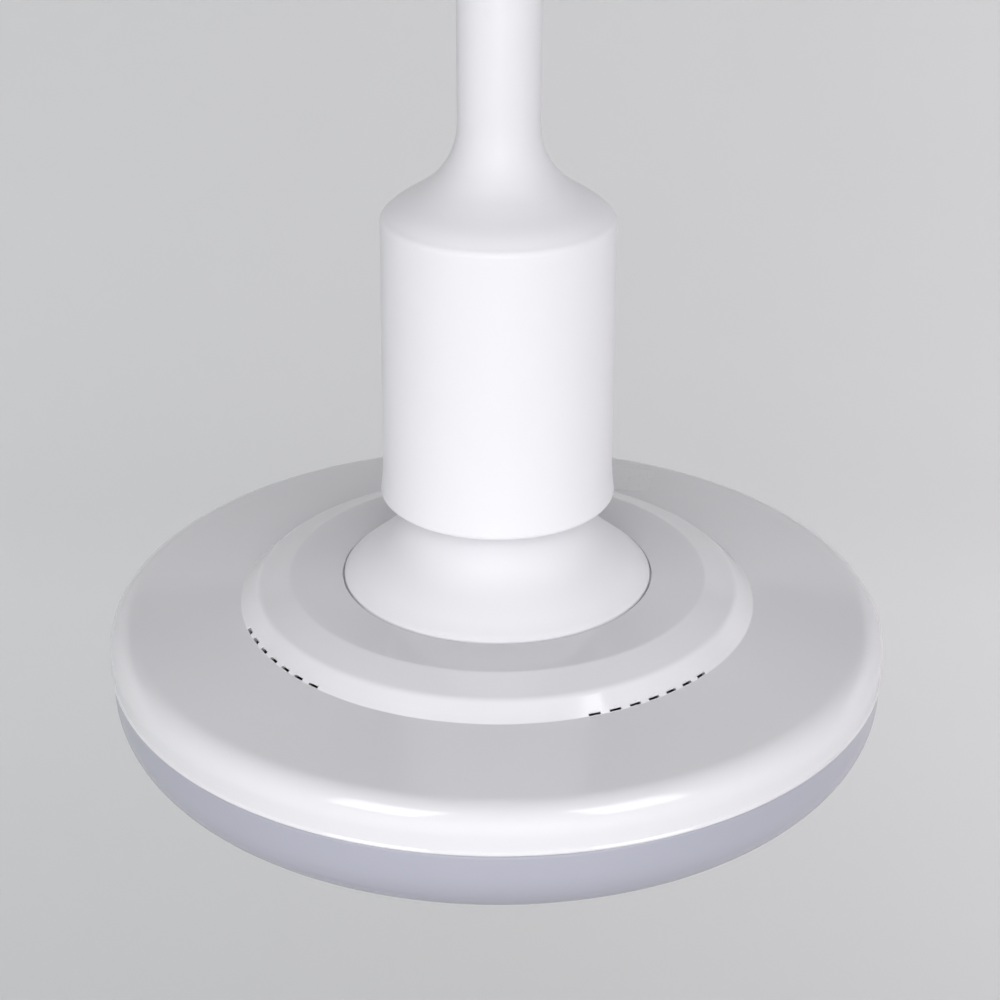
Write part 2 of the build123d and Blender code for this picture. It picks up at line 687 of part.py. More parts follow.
with BuildPart() as led_board:
    with BuildSketch(Plane.XY.offset(H(1.6))):
        Circle(112.0)
        Circle(6.0, mode=Mode.SUBTRACT)
        with PolarLocations(100, 6, start_angle=30):
            Circle(1.7, mode=Mode.SUBTRACT)
        with PolarLocations(34, 4, start_angle=45):
            Circle(1.6, mode=Mode.SUBTRACT)
    extrude(amount=1.4)
save(led_board, "led_board")

# LED packages in five rings on the underside of the board.
with BuildPart() as led_chips:
    for ring_r, count in ((24, 6), (42, 12), (60, 18), (78, 24), (93, 30)):
        with BuildSketch(Plane.XY.offset(H(0.9))):
            with PolarLocations(ring_r, count, start_angle=2.0):
                Rectangle(2.8, 3.5)
        extrude(amount=0.7)
save(led_chips, "led_chips")

with BuildPart() as board_screws:
    with BuildSketch(Plane.XY.offset(H(0.0))):
        with PolarLocations(100, 6, start_angle=30):
            Circle(2.9)
    extrude(amount=1.6)
    with BuildSketch(Plane.XY.offset(H(1.6))):
        with PolarLocations(100, 6, start_angle=30):
            Circle(1.35)
    extrude(amount=9.4)
    with BuildSketch(Plane.XY.offset(H(0.0))):
        with PolarLocations(100, 6, start_angle=30):
            Rectangle(3.8, 0.7)
            Rectangle(0.7, 3.8)
    extrude(amount=0.8, mode=Mode.SUBTRACT)
save(board_screws, "board_screws")

# Driver: insulating sheet, standoffs, board, components and screws.
with BuildPart() as insulating_sheet:
    with BuildSketch(Plane.XY.offset(H(4.2))):
        Circle(44.0)
        Circle(8.0, mode=Mode.SUBTRACT)
        with PolarLocations(34, 4, start_angle=45):
            Circle(1.5, mode=Mode.SUBTRACT)
    extrude(amount=0.4)
save(insulating_sheet, "insulating_sheet")

with BuildPart() as driver_standoffs:
    with BuildSketch(Plane.XY.offset(H(4.6))):
        with PolarLocations(34, 4, start_angle=45):
            Circle(2.6)
            Circle(1.45, mode=Mode.SUBTRACT)
    extrude(amount=3.4)
save(driver_standoffs, "driver_standoffs")

with BuildPart() as driver_board:
    with BuildSketch(Plane.XY.offset(H(8.0))):
        Circle(40.0)
        with Locations((1.5, 0), (-1.5, 0)):
            Circle(0.7, mode=Mode.SUBTRACT)
        with PolarLocations(34, 4, start_angle=45):
            Circle(1.6, mode=Mode.SUBTRACT)
    extrude(amount=1.6)
save(driver_board, "driver_board")

with BuildPart() as driver_screws:
    with BuildSketch(Plane.XY.offset(H(9.6))):
        with PolarLocations(34, 4, start_angle=45):
            Circle(2.5)
    extrude(amount=1.5)
    with BuildSketch(Plane.XY.offset(H(3.2))):
        with PolarLocations(34, 4, start_angle=45):
            Circle(1.35)
    extrude(amount=6.4)
save(driver_screws, "driver_screws")

# Transformer: ferrite core round a wound bobbin.
with BuildPart() as driver_transformer:
    with Locations((-17, 12, H(9.6))):
        Box(17, 15, 2.0, align=(Align.CENTER, Align.CENTER, Align.MIN))
    with Locations((-17, 12, H(11.6))):
        Box(15, 9, 9.0, align=(Align.CENTER, Align.CENTER, Align.MIN))
    with Locations((-17, 12, H(12.6))):
        Cylinder(6.2, 7.0, align=(Align.CENTER, Align.CENTER, Align.MIN))
    fillet(driver_transformer.edges().filter_by(Axis.Z), 0.4)
save(driver_transformer, "driver_transformer")

with BuildPart() as driver_capacitors:
    with Locations((17, 15, H(9.6))):
        Cylinder(5.0, 12.5, align=(Align.CENTER, Align.CENTER, Align.MIN))
    with Locations((20, -6, H(9.6))):
        Cylinder(4.0, 10.5, align=(Align.CENTER, Align.CENTER, Align.MIN))
    with Locations((-6, 27, H(9.6))):
        Cylinder(3.2, 8.0, align=(Align.CENTER, Align.CENTER, Align.MIN))
    fillet(driver_capacitors.edges().filter_by(GeomType.CIRCLE), 0.6)
save(driver_capacitors, "driver_capacitors")

# Bridge rectifier, controller, fuse and film capacitor.
with BuildPart() as driver_small_parts:
    with Locations((-22, -10, H(9.6))):
        Box(6.5, 4.7, 2.4, align=(Align.CENTER, Align.CENTER, Align.MIN))
    with Locations((4, 27, H(9.6))):
        Box(5.0, 4.0, 1.6, align=(Align.CENTER, Align.CENTER, Align.MIN))
    with Locations((-8, -27, H(9.6))):
        Box(13, 6, 9.0, align=(Align.CENTER, Align.CENTER, Align.MIN))
    with Locations((12, -25, H(9.6))):
        Cylinder(2.4, 8.0, align=(Align.CENTER, Align.CENTER, Align.MIN))
    fillet(driver_small_parts.edges().filter_by(Axis.Z), 0.3)
save(driver_small_parts, "driver_small_parts")

# Leads from the cap down the neck to the driver board.
cap_live_path = [(0, 0, H(104.8)), (0, 0, H(70.0)), (5, -14, H(32.0)), (5, -14, H(9.6))]
cap_live_radii = corner_radii(cap_live_path)
with BuildPart() as cap_lead_live:
    with BuildLine():
        cap_live_line = FilletPolyline(*cap_live_path, radius=cap_live_radii)
    with BuildSketch(Plane(origin=cap_live_path[0], z_dir=(0, 0, -1))):
        Circle(lead_r)
    sweep()
save(cap_lead_live, "cap_lead_live")
report_wire("cap_lead_live", cap_lead_live, cap_live_radii, lead_r, cap_live_line.length)

cap_neutral_path = [(-11.6, 0, H(97.2)), (-7.6, 0, H(96.6)), (-5.8, 0, H(78.0)),
                    (-6, -14, H(34.0)), (-6, -14, H(9.6))]
cap_neutral_radii = corner_radii(cap_neutral_path)
with BuildPart() as cap_lead_neutral:
    with BuildLine():
        cap_neutral_line = FilletPolyline(*cap_neutral_path, radius=cap_neutral_radii)
    with BuildSketch(Plane(origin=cap_neutral_path[0],
                           z_dir=Vector(*cap_neutral_path[1]) - Vector(*cap_neutral_path[0]))):
        Circle(lead_r)
    sweep()
save(cap_lead_neutral, "cap_lead_neutral")
report_wire("cap_lead_neutral", cap_lead_neutral, cap_neutral_radii, lead_r,
            cap_neutral_line.length)

# Connector on the LED board and the two leads from the driver to it.
with BuildPart() as board_connector:
    with Locations((0, 12.0, H(1.6))):
        Box(9, 7, 3.6, align=(Align.CENTER, Align.CENTER, Align.MAX))
    fillet(board_connector.edges().filter_by(Axis.Z), 0.5)
    with BuildSketch(Plane.XZ.offset(-12.0)):
        with Locations((1.5, H(0)), (-1.5, H(0))):
            Circle(0.7)
    extrude(amount=4, mode=Mode.SUBTRACT)
save(board_connector, "board_connector")

with BuildPart() as led_leads:
    for sx in (1.5, -1.5):
        path_pts = [(sx, 0, H(8.6)), (sx, 0, H(0.0)), (sx, 11.5, H(0.0))]
        led_radii = corner_radii(path_pts)
        with BuildLine():
            led_line = FilletPolyline(*path_pts, radius=led_radii)
        with BuildSketch(Plane(origin=path_pts[0], z_dir=(0, 0, -1))):
            Circle(0.65)
        sweep(path=led_line)
save(led_leads, "led_leads")
report_wire("led_leads (each of two)", led_leads, led_radii, 0.65, 2 * led_line.length)

# Opal diffuser: a shallow dish that snaps inside the rim.
with BuildPart() as diffuser:
    with BuildSketch(Plane.XZ):
        with BuildLine():
            FilletPolyline((0, H(-diffuser_depth)), (diffuser_r - 0.2, H(-25.2)),
                           (diffuser_r, H(-0.3)), (122.1, H(-0.3)), (122.1, H(2.9)),
                           (120.3, H(2.9)), (120.3, H(-1.6)), (121.9, H(-3.0)),
                           (121.8, H(-23.4)), (0, H(-diffuser_depth + 1.8)),
                           radius=[0, 18.0, 0.5, 0, 0.3, 0.3, 0, 1.0, 16.2, 0],
                           close=True)
        make_face()
    revolve(axis=Axis.Z)
save(diffuser, "diffuser")
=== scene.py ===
"""Looks of the LED pendant lamp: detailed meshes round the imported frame, materials, stage, lights and camera."""

import json
from math import acos, atan2, cos, hypot, pi, radians, sin, sqrt, tan

import bmesh
import bpy
import numpy as np
from mathutils import Matrix, Vector

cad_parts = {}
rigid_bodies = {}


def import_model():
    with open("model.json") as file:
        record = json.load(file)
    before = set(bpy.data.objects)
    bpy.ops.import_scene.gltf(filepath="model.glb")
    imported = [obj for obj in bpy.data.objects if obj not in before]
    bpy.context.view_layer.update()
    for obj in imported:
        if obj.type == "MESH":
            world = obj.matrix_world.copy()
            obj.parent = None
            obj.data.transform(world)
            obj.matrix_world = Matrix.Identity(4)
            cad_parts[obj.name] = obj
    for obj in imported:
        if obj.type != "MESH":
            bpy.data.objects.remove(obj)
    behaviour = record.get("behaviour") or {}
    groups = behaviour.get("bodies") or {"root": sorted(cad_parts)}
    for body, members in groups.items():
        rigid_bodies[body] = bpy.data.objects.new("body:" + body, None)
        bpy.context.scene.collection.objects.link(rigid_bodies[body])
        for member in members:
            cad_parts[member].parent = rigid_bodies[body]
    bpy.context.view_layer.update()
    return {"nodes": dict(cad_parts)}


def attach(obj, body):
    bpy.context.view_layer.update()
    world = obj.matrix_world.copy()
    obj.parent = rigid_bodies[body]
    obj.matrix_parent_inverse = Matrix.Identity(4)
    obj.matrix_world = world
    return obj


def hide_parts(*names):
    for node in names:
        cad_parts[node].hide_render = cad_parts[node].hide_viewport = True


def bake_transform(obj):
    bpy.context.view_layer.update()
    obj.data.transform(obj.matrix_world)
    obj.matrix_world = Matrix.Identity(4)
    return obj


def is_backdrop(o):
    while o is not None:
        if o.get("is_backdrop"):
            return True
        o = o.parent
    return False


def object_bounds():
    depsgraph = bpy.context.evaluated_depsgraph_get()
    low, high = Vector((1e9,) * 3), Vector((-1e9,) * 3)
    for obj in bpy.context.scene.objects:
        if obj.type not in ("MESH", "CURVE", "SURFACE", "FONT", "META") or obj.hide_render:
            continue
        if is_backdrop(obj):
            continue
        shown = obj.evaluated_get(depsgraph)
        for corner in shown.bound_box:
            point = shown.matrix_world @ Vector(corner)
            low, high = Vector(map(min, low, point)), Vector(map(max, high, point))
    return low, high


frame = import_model()
nodes = frame["nodes"]

DROP = 455.0  # mm from the ceiling face to the lower edge of the disc's rim
PITCH = 3.629  # mm, E27 thread


def H(h):
    """mm above the rim's lower edge -> metres in the row frame."""
    return (h - DROP) * 0.001


# ------------------------------------------------------------------ outlines
def rounded(points, n=6):
    """Closed outline of (r, z, radius) in mm with its corners turned into arcs."""
    out = []
    count = len(points)
    for i, (x, y, rad) in enumerate(points):
        if rad <= 0:
            out.append((x, y))
            continue
        px, py = points[i - 1][:2]
        qx, qy = points[(i + 1) % count][:2]
        ax, ay, bx, by = px - x, py - y, qx - x, qy - y
        la, lb = hypot(ax, ay), hypot(bx, by)
        ax, ay, bx, by = ax / la, ay / la, bx / lb, by / lb
        inside = acos(max(-1.0, min(1.0, ax * bx + ay * by)))
        t = rad / tan(inside / 2)
        hx, hy = ax + bx, ay + by
        hl = hypot(hx, hy)
        d = rad / sin(inside / 2)
        cx, cy = x + hx / hl * d, y + hy / hl * d
        a0 = atan2(y + ay * t - cy, x + ax * t - cx)
        a1 = atan2(y + by * t - cy, x + bx * t - cx)
        da = (a1 - a0 + pi) % (2 * pi) - pi
        for k in range(n + 1):
            a = a0 + da * k / n
            out.append((cx + rad * cos(a), cy + rad * sin(a)))
    return out


def arc3(p0, pm, p1, n):
    """Points of the circular arc through three points."""
    ax, ay, bx, by, cx, cy = *p0, *pm, *p1
    d = 2 * (ax * (by - cy) + bx * (cy - ay) + cx * (ay - by))
    ux = ((ax**2 + ay**2) * (by - cy) + (bx**2 + by**2) * (cy - ay) + (cx**2 + cy**2) * (ay - by)) / d
    uy = ((ax**2 + ay**2) * (cx - bx) + (bx**2 + by**2) * (ax - cx) + (cx**2 + cy**2) * (bx - ax)) / d
    r = hypot(ax - ux, ay - uy)
    a0, am, a1 = (atan2(p[1] - uy, p[0] - ux) for p in (p0, pm, p1))
    d1 = (am - a0 + pi) % (2 * pi) - pi
    d2 = (a1 - am + pi) % (2 * pi) - pi
    return [(ux + r * cos(a0 + (d1 + d2) * k / n), uy + r * sin(a0 + (d1 + d2) * k / n)) for k in range(n + 1)]


def spline(points, n):
    """Natural cubic spline through the points, n + 1 samples."""
    p = np.array(points, float)
    t = np.concatenate([[0], np.cumsum(np.hypot(*np.diff(p, axis=0).T))])
    h = np.diff(t)
    m = len(p)
    a = np.eye(m)
    b = np.zeros((m, 2))
    for i in range(1, m - 1):
        a[i, i - 1 : i + 2] = h[i - 1], 2 * (h[i - 1] + h[i]), h[i]
        b[i] = 6 * ((p[i + 1] - p[i]) / h[i] - (p[i] - p[i - 1]) / h[i - 1])
    s = np.linalg.solve(a, b)
    out = []
    for u in np.linspace(0, t[-1], n + 1):
        i = min(int(np.searchsorted(t, u, side="right")) - 1, m - 2)
        l, r = t[i + 1] - u, u - t[i]
        q = (s[i] * l**3 + s[i + 1] * r**3) / (6 * h[i])
        q = q + (p[i] / h[i] - s[i] * h[i] / 6) * l + (p[i + 1] / h[i] - s[i + 1] * h[i] / 6) * r
        out.append((float(q[0]), float(q[1])))
    return out


# -------------------------------------------------------------------- meshes
def new_object(name, verts, faces, sharp=32.0):
    me = bpy.data.meshes.new(name)
    me.from_pydata([tuple(map(float, v)) for v in verts], [], faces)
    me.update()
    ob = bpy.data.objects.new(name, me)
    bpy.context.scene.collection.objects.link(ob)
    if sharp:
        shade(ob, sharp)
    return ob


def shade(ob, sharp=32.0):
    me = ob.data
    me.polygons.foreach_set("use_smooth", [True] * len(me.polygons))
    me.set_sharp_from_angle(angle=radians(sharp))
    me.update()


def lathe_data(outline, segs, start=0.0):
    """Closed solid of revolution of an outline in metres."""
    area = sum(
        outline[i][0] * outline[(i + 1) % len(outline)][1] - outline[(i + 1) % len(outline)][0] * outline[i][1]
        for i in range(len(outline))
    )
    verts, rings, faces = [], [], []
    angles = [start + 2 * pi * i / segs for i in range(segs)]
    for r, z in outline:
        if r < 1e-7:
            rings.append([len(verts)])
            verts.append((0.0, 0.0, z))
        else:
            rings.append(list(range(len(verts), len(verts) + segs)))
            verts += [(r * cos(a), r * sin(a), z) for a in angles]
    for k in range(len(outline)):
        a, b = rings[k], rings[(k + 1) % len(outline)]
        if len(a) == 1 and len(b) == 1:
            continue
        for i in range(segs):
            j = (i + 1) % segs
            if len(a) == 1:
                f = (a[0], b[j], b[i])
            elif len(b) == 1:
                f = (a[i], a[j], b[0])
            else:
                f = (a[i], a[j], b[j], b[i])
            faces.append(f if area > 0 else f[::-1])
    return verts, faces


def lathe(name, outline_mm, segs=192, lift=None, sharp=32.0):
    """outline_mm holds (r, height above the rim's lower edge) in mm; lift=0 reads z from the ceiling face."""
    shift = -DROP if lift is None else lift
    verts, faces = lathe_data([(r * 0.001, (z + shift) * 0.001) for r, z in outline_mm], segs)
    return new_object(name, verts, faces, sharp)


def prism(points_mm, z0, z1, name="cutter"):
    """Straight prism over a counter-clockwise outline in mm, z in metres."""
    n = len(points_mm)
    verts = [(x * 0.001, y * 0.001, z0) for x, y in points_mm] + [(x * 0.001, y * 0.001, z1) for x, y in points_mm]
    faces = [tuple(range(n))[::-1], tuple(range(n, 2 * n))]
    faces += [(i, (i + 1) % n, n + (i + 1) % n, n + i) for i in range(n)]
    return new_object(name, verts, faces, 0)


def circle(cx, cy, r, n=32, start=0.0):
    return [(cx + r * cos(start + 2 * pi * k / n), cy + r * sin(start + 2 * pi * k / n)) for k in range(n)]


def merge(name, parts, sharp=0):
    """Several meshes as one object."""
    bm = bmesh.new()
    for p in parts:
        bm.from_mesh(p.data)
        me = p.data
        bpy.data.objects.remove(p)
        bpy.data.meshes.remove(me)
    me = bpy.data.meshes.new(name)
    bm.to_mesh(me)
    bm.free()
    ob = bpy.data.objects.new(name, me)
    bpy.context.scene.collection.objects.link(ob)
    if sharp:
        shade(ob, sharp)
    return ob


def boolean(ob, other, operation, sharp=32.0):
    mod = ob.modifiers.new("cut", "BOOLEAN")
    mod.operation = operation
    mod.object = other
    mod.solver = "EXACT"
    bpy.context.view_layer.update()
    dg = bpy.context.evaluated_depsgraph_get()
    me = bpy.data.meshes.new_from_object(ob.evaluated_get(dg))
    ob.modifiers.clear()
    old = ob.data
    ob.data = me
    bpy.data.meshes.remove(old)
    me.name = ob.name
    tool = other.data
    bpy.data.objects.remove(other)
    bpy.data.meshes.remove(tool)
    bm = bmesh.new()
    bm.from_mesh(me)
    bmesh.ops.remove_doubles(bm, verts=bm.verts, dist=1e-7)
    bmesh.ops.dissolve_degenerate(bm, edges=bm.edges, dist=1e-7)
    bm.to_mesh(me)
    bm.free()
    if sharp:
        shade(ob, sharp)
    return ob


def tube_along(name, points, radius, segs=12):
    """Round wire along points (metres), with rounded ends."""
    p = np.array(points, float)
    tangent = np.gradient(p, axis=0)
    tangent /= np.linalg.norm(tangent, axis=1)[:, None]
    normal = np.cross(tangent[0], [0, 0, 1.0])
    if np.linalg.norm(normal) < 1e-6:
        normal = np.cross(tangent[0], [1.0, 0, 0])
    normal /= np.linalg.norm(normal)
    verts, faces = [], []
    for k in range(len(p)):
        normal = normal - tangent[k] * normal.dot(tangent[k])
        normal /= np.linalg.norm(normal)
        side = np.cross(tangent[k], normal)
        for i in range(segs):
            a = 2 * pi * i / segs
            verts.append(p[k] + radius * (cos(a) * normal + sin(a) * side))
    for k in range(len(p) - 1):
        for i in range(segs):
            j = (i + 1) % segs
            faces.append((k * segs + i, k * segs + j, (k + 1) * segs + j, (k + 1) * segs + i))
    for end, sign in ((0, -1), (len(p) - 1, 1)):
        centre = len(verts)
        verts.append(p[end] + sign * tangent[end] * radius * 0.45)
        for i in range(segs):
            j = (i + 1) % segs
            f = (end * segs + i, end * segs + j, centre)
            faces.append(f if sign > 0 else f[::-1])
    return new_object(name, verts, faces, 40)


# ----------------------------------------------------------------- materials
class Finish:
    """A procedural material in object space, in metres."""

    def __init__(self, name):
        self.m = bpy.data.materials.new(name)
        self.m.use_nodes = True
        self.t = self.m.node_tree
        self.t.nodes.clear()
        self.out = self.add("ShaderNodeOutputMaterial")
        self.b = self.add("ShaderNodeBsdfPrincipled")
        self.link(self.b.outputs[0], self.out.inputs[0])
        self.co = self.add("ShaderNodeTexCoord").outputs["Object"]

    def add(self, kind, **values):
        n = self.t.nodes.new(kind)
        for k, v in values.items():
            setattr(n, k, v)
        return n

    def link(self, a, b):
        self.t.links.new(a, b)

    def stretched(self, x, y, z):
        n = self.add("ShaderNodeMapping")
        self.link(self.co, n.inputs["Vector"])
        n.inputs["Scale"].default_value = (x, y, z)
        return n.outputs[0]

    def noise(self, scale, detail=2.0, rough=0.5, distort=0.0, vec=None):
        n = self.add("ShaderNodeTexNoise")
        self.link(vec or self.co, n.inputs["Vector"])
        n.inputs["Scale"].default_value = scale
        n.inputs["Detail"].default_value = detail
        n.inputs["Roughness"].default_value = rough
        n.inputs["Distortion"].default_value = distort
        return n.outputs[0]

    def cells(self, scale, vec=None, feature="F1", output="Distance"):
        n = self.add("ShaderNodeTexVoronoi", feature=feature)
        self.link(vec or self.co, n.inputs["Vector"])
        n.inputs["Scale"].default_value = scale
        return n.outputs[output]

    def axis(self, which):
        n = self.add("ShaderNodeSeparateXYZ")
        self.link(self.co, n.inputs[0])
        return n.outputs[which]

    def radius(self):
        n = self.add("ShaderNodeVectorMath", operation="LENGTH")
        self.link(self.stretched(1, 1, 0), n.inputs[0])
        return n.outputs["Value"]

    def waves(self, fac, period):
        n = self.add("ShaderNodeMath", operation="MULTIPLY")
        self.link(fac, n.inputs[0])
        n.inputs[1].default_value = 2 * pi / period
        s = self.add("ShaderNodeMath", operation="SINE")
        self.link(n.outputs[0], s.inputs[0])
        return s.outputs[0]

    def ramp(self, fac, *stops, smooth=False):
        n = self.add("ShaderNodeValToRGB")
        n.color_ramp.interpolation = "EASE" if smooth else "LINEAR"
        e = n.color_ramp.elements
        while len(e) < len(stops):
            e.new(0.5)
        for s, (pos, col) in zip(e, stops):
            s.position = pos
            s.color = (*col, 1) if isinstance(col, (tuple, list)) else (col, col, col, 1)
        self.link(fac, n.inputs[0])
        return n.outputs[0]

    def remap(self, fac, a, b, lo, hi):
        n = self.add("ShaderNodeMapRange")
        self.link(fac, n.inputs["Value"])
        for k, v in zip(("From Min", "From Max", "To Min", "To Max"), (a, b, lo, hi)):
            n.inputs[k].default_value = v
        return n.outputs[0]

    def mix(self, fac, a, b, blend="MIX"):
        n = self.add("ShaderNodeMix", data_type="RGBA", blend_type=blend)
        if isinstance(fac, (int, float)):
            n.inputs[0].default_value = fac
        else:
            self.link(fac, n.inputs[0])
        for sock, v in ((n.inputs[6], a), (n.inputs[7], b)):
            if isinstance(v, (tuple, list)):
                sock.default_value = (*v, 1)
            else:
                self.link(v, sock)
        return n.outputs[2]

    def bump(self, height, strength, distance, before=None):
        n = self.add("ShaderNodeBump")
        n.inputs["Strength"].default_value = strength
        n.inputs["Distance"].default_value = distance
        self.link(height, n.inputs["Height"])
        if before is not None:
            self.link(before, n.inputs["Normal"])
        self.link(n.outputs[0], self.b.inputs["Normal"])
        return n.outputs[0]

    def colour(self, sock):
        self.link(sock, self.b.inputs["Base Color"])

    def rough(self, sock):
        self.link(sock, self.b.inputs["Roughness"])

    def worn(self):
        """0 on flats, 1 along convex edges."""
        g = self.add("ShaderNodeNewGeometry")
        return self.ramp(g.outputs["Pointiness"], (0.52, 0.0), (0.60, 1.0))

    def set(self, **values):
        for k, v in values.items():
            self.b.inputs[k.replace("_", " ")].default_value = v
        return self


def times(c, k):
    return tuple(min(1.0, x * k) for x in c)


def moulded(name, tint, rough=(0.14, 0.20), peel=1.0, ior=1.47, mottle=0.012, coat=0.0, painted_shade_z=None, painted_ring_light=None):
    """Glossy injection-moulded or enamelled surface: cloudy tone, orange peel, faint rubbing and dust, with optional
    painted shade towards a height and painted light on one band of radius.
    """
    f = Finish(name)
    cloud = f.noise(22, 4, 0.55, 0.3)
    fine = f.noise(900, 2, 0.6)
    tone = f.mix(f.remap(cloud, 0.3, 0.7, 0, 1), times(tint, 1 - mottle), times(tint, 1 + mottle * 0.5))
    tone = f.mix(f.remap(fine, 0.35, 0.65, 0, 0.35), tone, times(tint, 1 - mottle))
    dust = f.ramp(f.cells(430), (0.0, 1.0), (0.055, 0.0))
    where = f.ramp(f.noise(60, 3, 0.6), (0.60, 0.0), (0.74, 1.0))
    specks = f.mix(1.0, dust, where, "MULTIPLY")
    tone = f.mix(f.remap(specks, 0, 1, 0, 0.22), tone, (0.50, 0.48, 0.45))
    # painted shade: the tone darkens towards black between two heights, by the given share at and above the upper one
    if painted_shade_z:
        tone = f.mix(f.remap(f.axis("Z"), painted_shade_z[0], painted_shade_z[1], 0.0, painted_shade_z[2]), tone, (0, 0, 0))
    # painted light: the tone is darkened inside and outside one band of radius, so that band reads lighter
    if painted_ring_light:
        inside = f.remap(f.radius(), painted_ring_light[0], painted_ring_light[0] + 0.0014, painted_ring_light[2], 0.0)
        outside = f.remap(f.radius(), painted_ring_light[1] - 0.0002, painted_ring_light[1] + 0.0002, 0.0, painted_ring_light[2])
        tone = f.mix(outside, f.mix(inside, tone, (0, 0, 0)), (0, 0, 0))
    f.colour(tone)
    smear = f.noise(34, 5, 0.62, 0.8, f.stretched(1, 1, 0.45))
    f.rough(f.remap(smear, 0.32, 0.70, rough[0], rough[1]))
    n = f.bump(f.noise(520, 2, 0.45), 0.22 * peel, 0.00003)
    f.bump(f.noise(70, 2, 0.5), 0.18 * peel, 0.00012, n)
    f.set(IOR=ior)
    if coat:
        f.set(Coat_Weight=coat, Coat_Roughness=0.06)
    return f.m


def metal(name, tint, rough=(0.24, 0.36), grain=(1, 1, 1), grain_scale=600, grain_depth=0.00002, spots=0.10, edge=1.12, patches=None):
    """Bare or plated metal with a grain, tarnish clouds and brighter edges."""
    f = Finish(name)
    cloud = f.noise(140, 5, 0.6, 0.6)
    tone = f.mix(f.remap(cloud, 0.3, 0.7, 0, 1), times(tint, 1 - spots), times(tint, 1 + spots * 0.4))
    if patches:
        pat = f.cells(patches, output="Color")
        tone = f.mix(0.10, tone, pat, "OVERLAY")
    tone = f.mix(f.worn(), tone, times(tint, edge))
    f.colour(tone)
    g = f.noise(grain_scale, 3, 0.6, 0.0, f.stretched(*grain))
    f.rough(f.remap(g, 0.3, 0.7, rough[0], rough[1]))
    f.bump(g, 0.35, grain_depth)
    f.set(Metallic=1.0)
    return f.m


def matt(name, tint, rough=(0.45, 0.62), scale=800, depth=0.00003, spread=0.06, ior=1.47, speck=None):
    """Satin or matt plastic, rubber, ceramic or fibre: grain, tone clouds, dusty edges."""
    f = Finish(name)
    cloud = f.noise(90, 4, 0.6, 0.3)
    tone = f.mix(f.remap(cloud, 0.3, 0.7, 0, 1), times(tint, 1 - spread), times(tint, 1 + spread))
    if speck:
        s = f.ramp(f.cells(scale * 0.8), (0.0, 1.0), (0.16, 0.0))
        tone = f.mix(f.remap(s, 0, 1, 0, 0.5), tone, speck)
    tone = f.mix(f.remap(f.worn(), 0, 1, 0, 0.4), tone, times(tint, 1.25))
    f.colour(tone)
    g = f.noise(scale, 3, 0.55)
    f.rough(f.remap(f.noise(scale * 0.3, 3, 0.6), 0.3, 0.7, rough[0], rough[1]))
    f.bump(g, 0.4, depth)
    f.set(IOR=ior)
    return f.m


def insulated(name, tint, stripe=None):
    """PVC wire insulation: satin, faint extrusion lines along the wire, talc dust."""
    f = Finish(name)
    line = f.noise(900, 2, 0.5, 0.0, f.stretched(1, 1, 0.04))
    tone = f.mix(f.remap(line, 0.3, 0.7, 0, 1), times(tint, 0.88), times(tint, 1.12))
    talc = f.ramp(f.noise(260, 4, 0.65), (0.58, 0.0), (0.78, 1.0))
    tone = f.mix(f.remap(talc, 0, 1, 0, 0.10), tone, (0.7, 0.7, 0.7))
    if stripe:
        which, at, width, other = stripe
        side = f.ramp(f.remap(f.axis(which), at - width, at + width, 0, 1), (0.49, 0.0), (0.51, 1.0))
        tone = f.mix(side, tone, other)
    f.colour(tone)
    f.rough(f.remap(line, 0.3, 0.7, 0.34, 0.48))
    f.bump(line, 0.25, 0.00002)
    f.set(IOR=1.5)
    return f.m


def board(name, mask, track, pads, ring=None):
    """Solder mask over tracks, with bare pads that glint."""
    f = Finish(name)
    cells = f.cells(260, feature="DISTANCE_TO_EDGE")
    lines = f.ramp(cells, (0.05, 0.0), (0.09, 1.0))
    tone = f.mix(lines, times(mask, 0.86), track)
    if ring:
        r = f.waves(f.radius(), ring)
        band = f.ramp(f.remap(r, -1, 1, 0, 1), (0.10, 1.0), (0.16, 0.0))
        tone = f.mix(f.remap(band, 0, 1, 0, 0.5), tone, times(mask, 0.75))
    dots = f.ramp(f.cells(430), (0.10, 1.0), (0.14, 0.0))
    keep = f.ramp(f.noise(70, 2), (0.52, 0.0), (0.56, 1.0))
    pad = f.mix(1.0, dots, keep, "MULTIPLY")
    f.colour(f.mix(pad, tone, pads))
    f.rough(f.mix(pad, f.remap(f.noise(500, 3), 0.3, 0.7, 0.30, 0.42), (0.2, 0.2, 0.2)))
    f.bump(lines, 0.4, 0.00003)
    f.set(IOR=1.5)
    return f.m


BODY = (0.850, 0.846, 0.878)
mats = {}
# painted shade: housing_white darkens towards the top of its flare, neck_white towards the top of the cone under the
# cup's lip
mats["housing_white"] = moulded("housing_white", BODY, (0.34, 0.42), 0.8, painted_shade_z=(H(146), H(160), 0.075))
# painted light: neck_white is 10% lighter than BODY to brighten the cone
mats["neck_white"] = moulded("neck_white", times(BODY, 1.10), (0.38, 0.46), 1.0, painted_shade_z=(H(30), H(48), 0.14))
# painted light: cover_white is 6% lighter than BODY and darkened again off the steep ring, so the ring reads lit
mats["cover_white"] = moulded("cover_white", times(BODY, 1.06), (0.07, 0.11), 0.5, painted_ring_light=(0.0758, 0.0825, 0.062))
mats["white_enamel"] = moulded("white_enamel", times(BODY, 1.0), (0.12, 0.18), 1.6, 1.5)
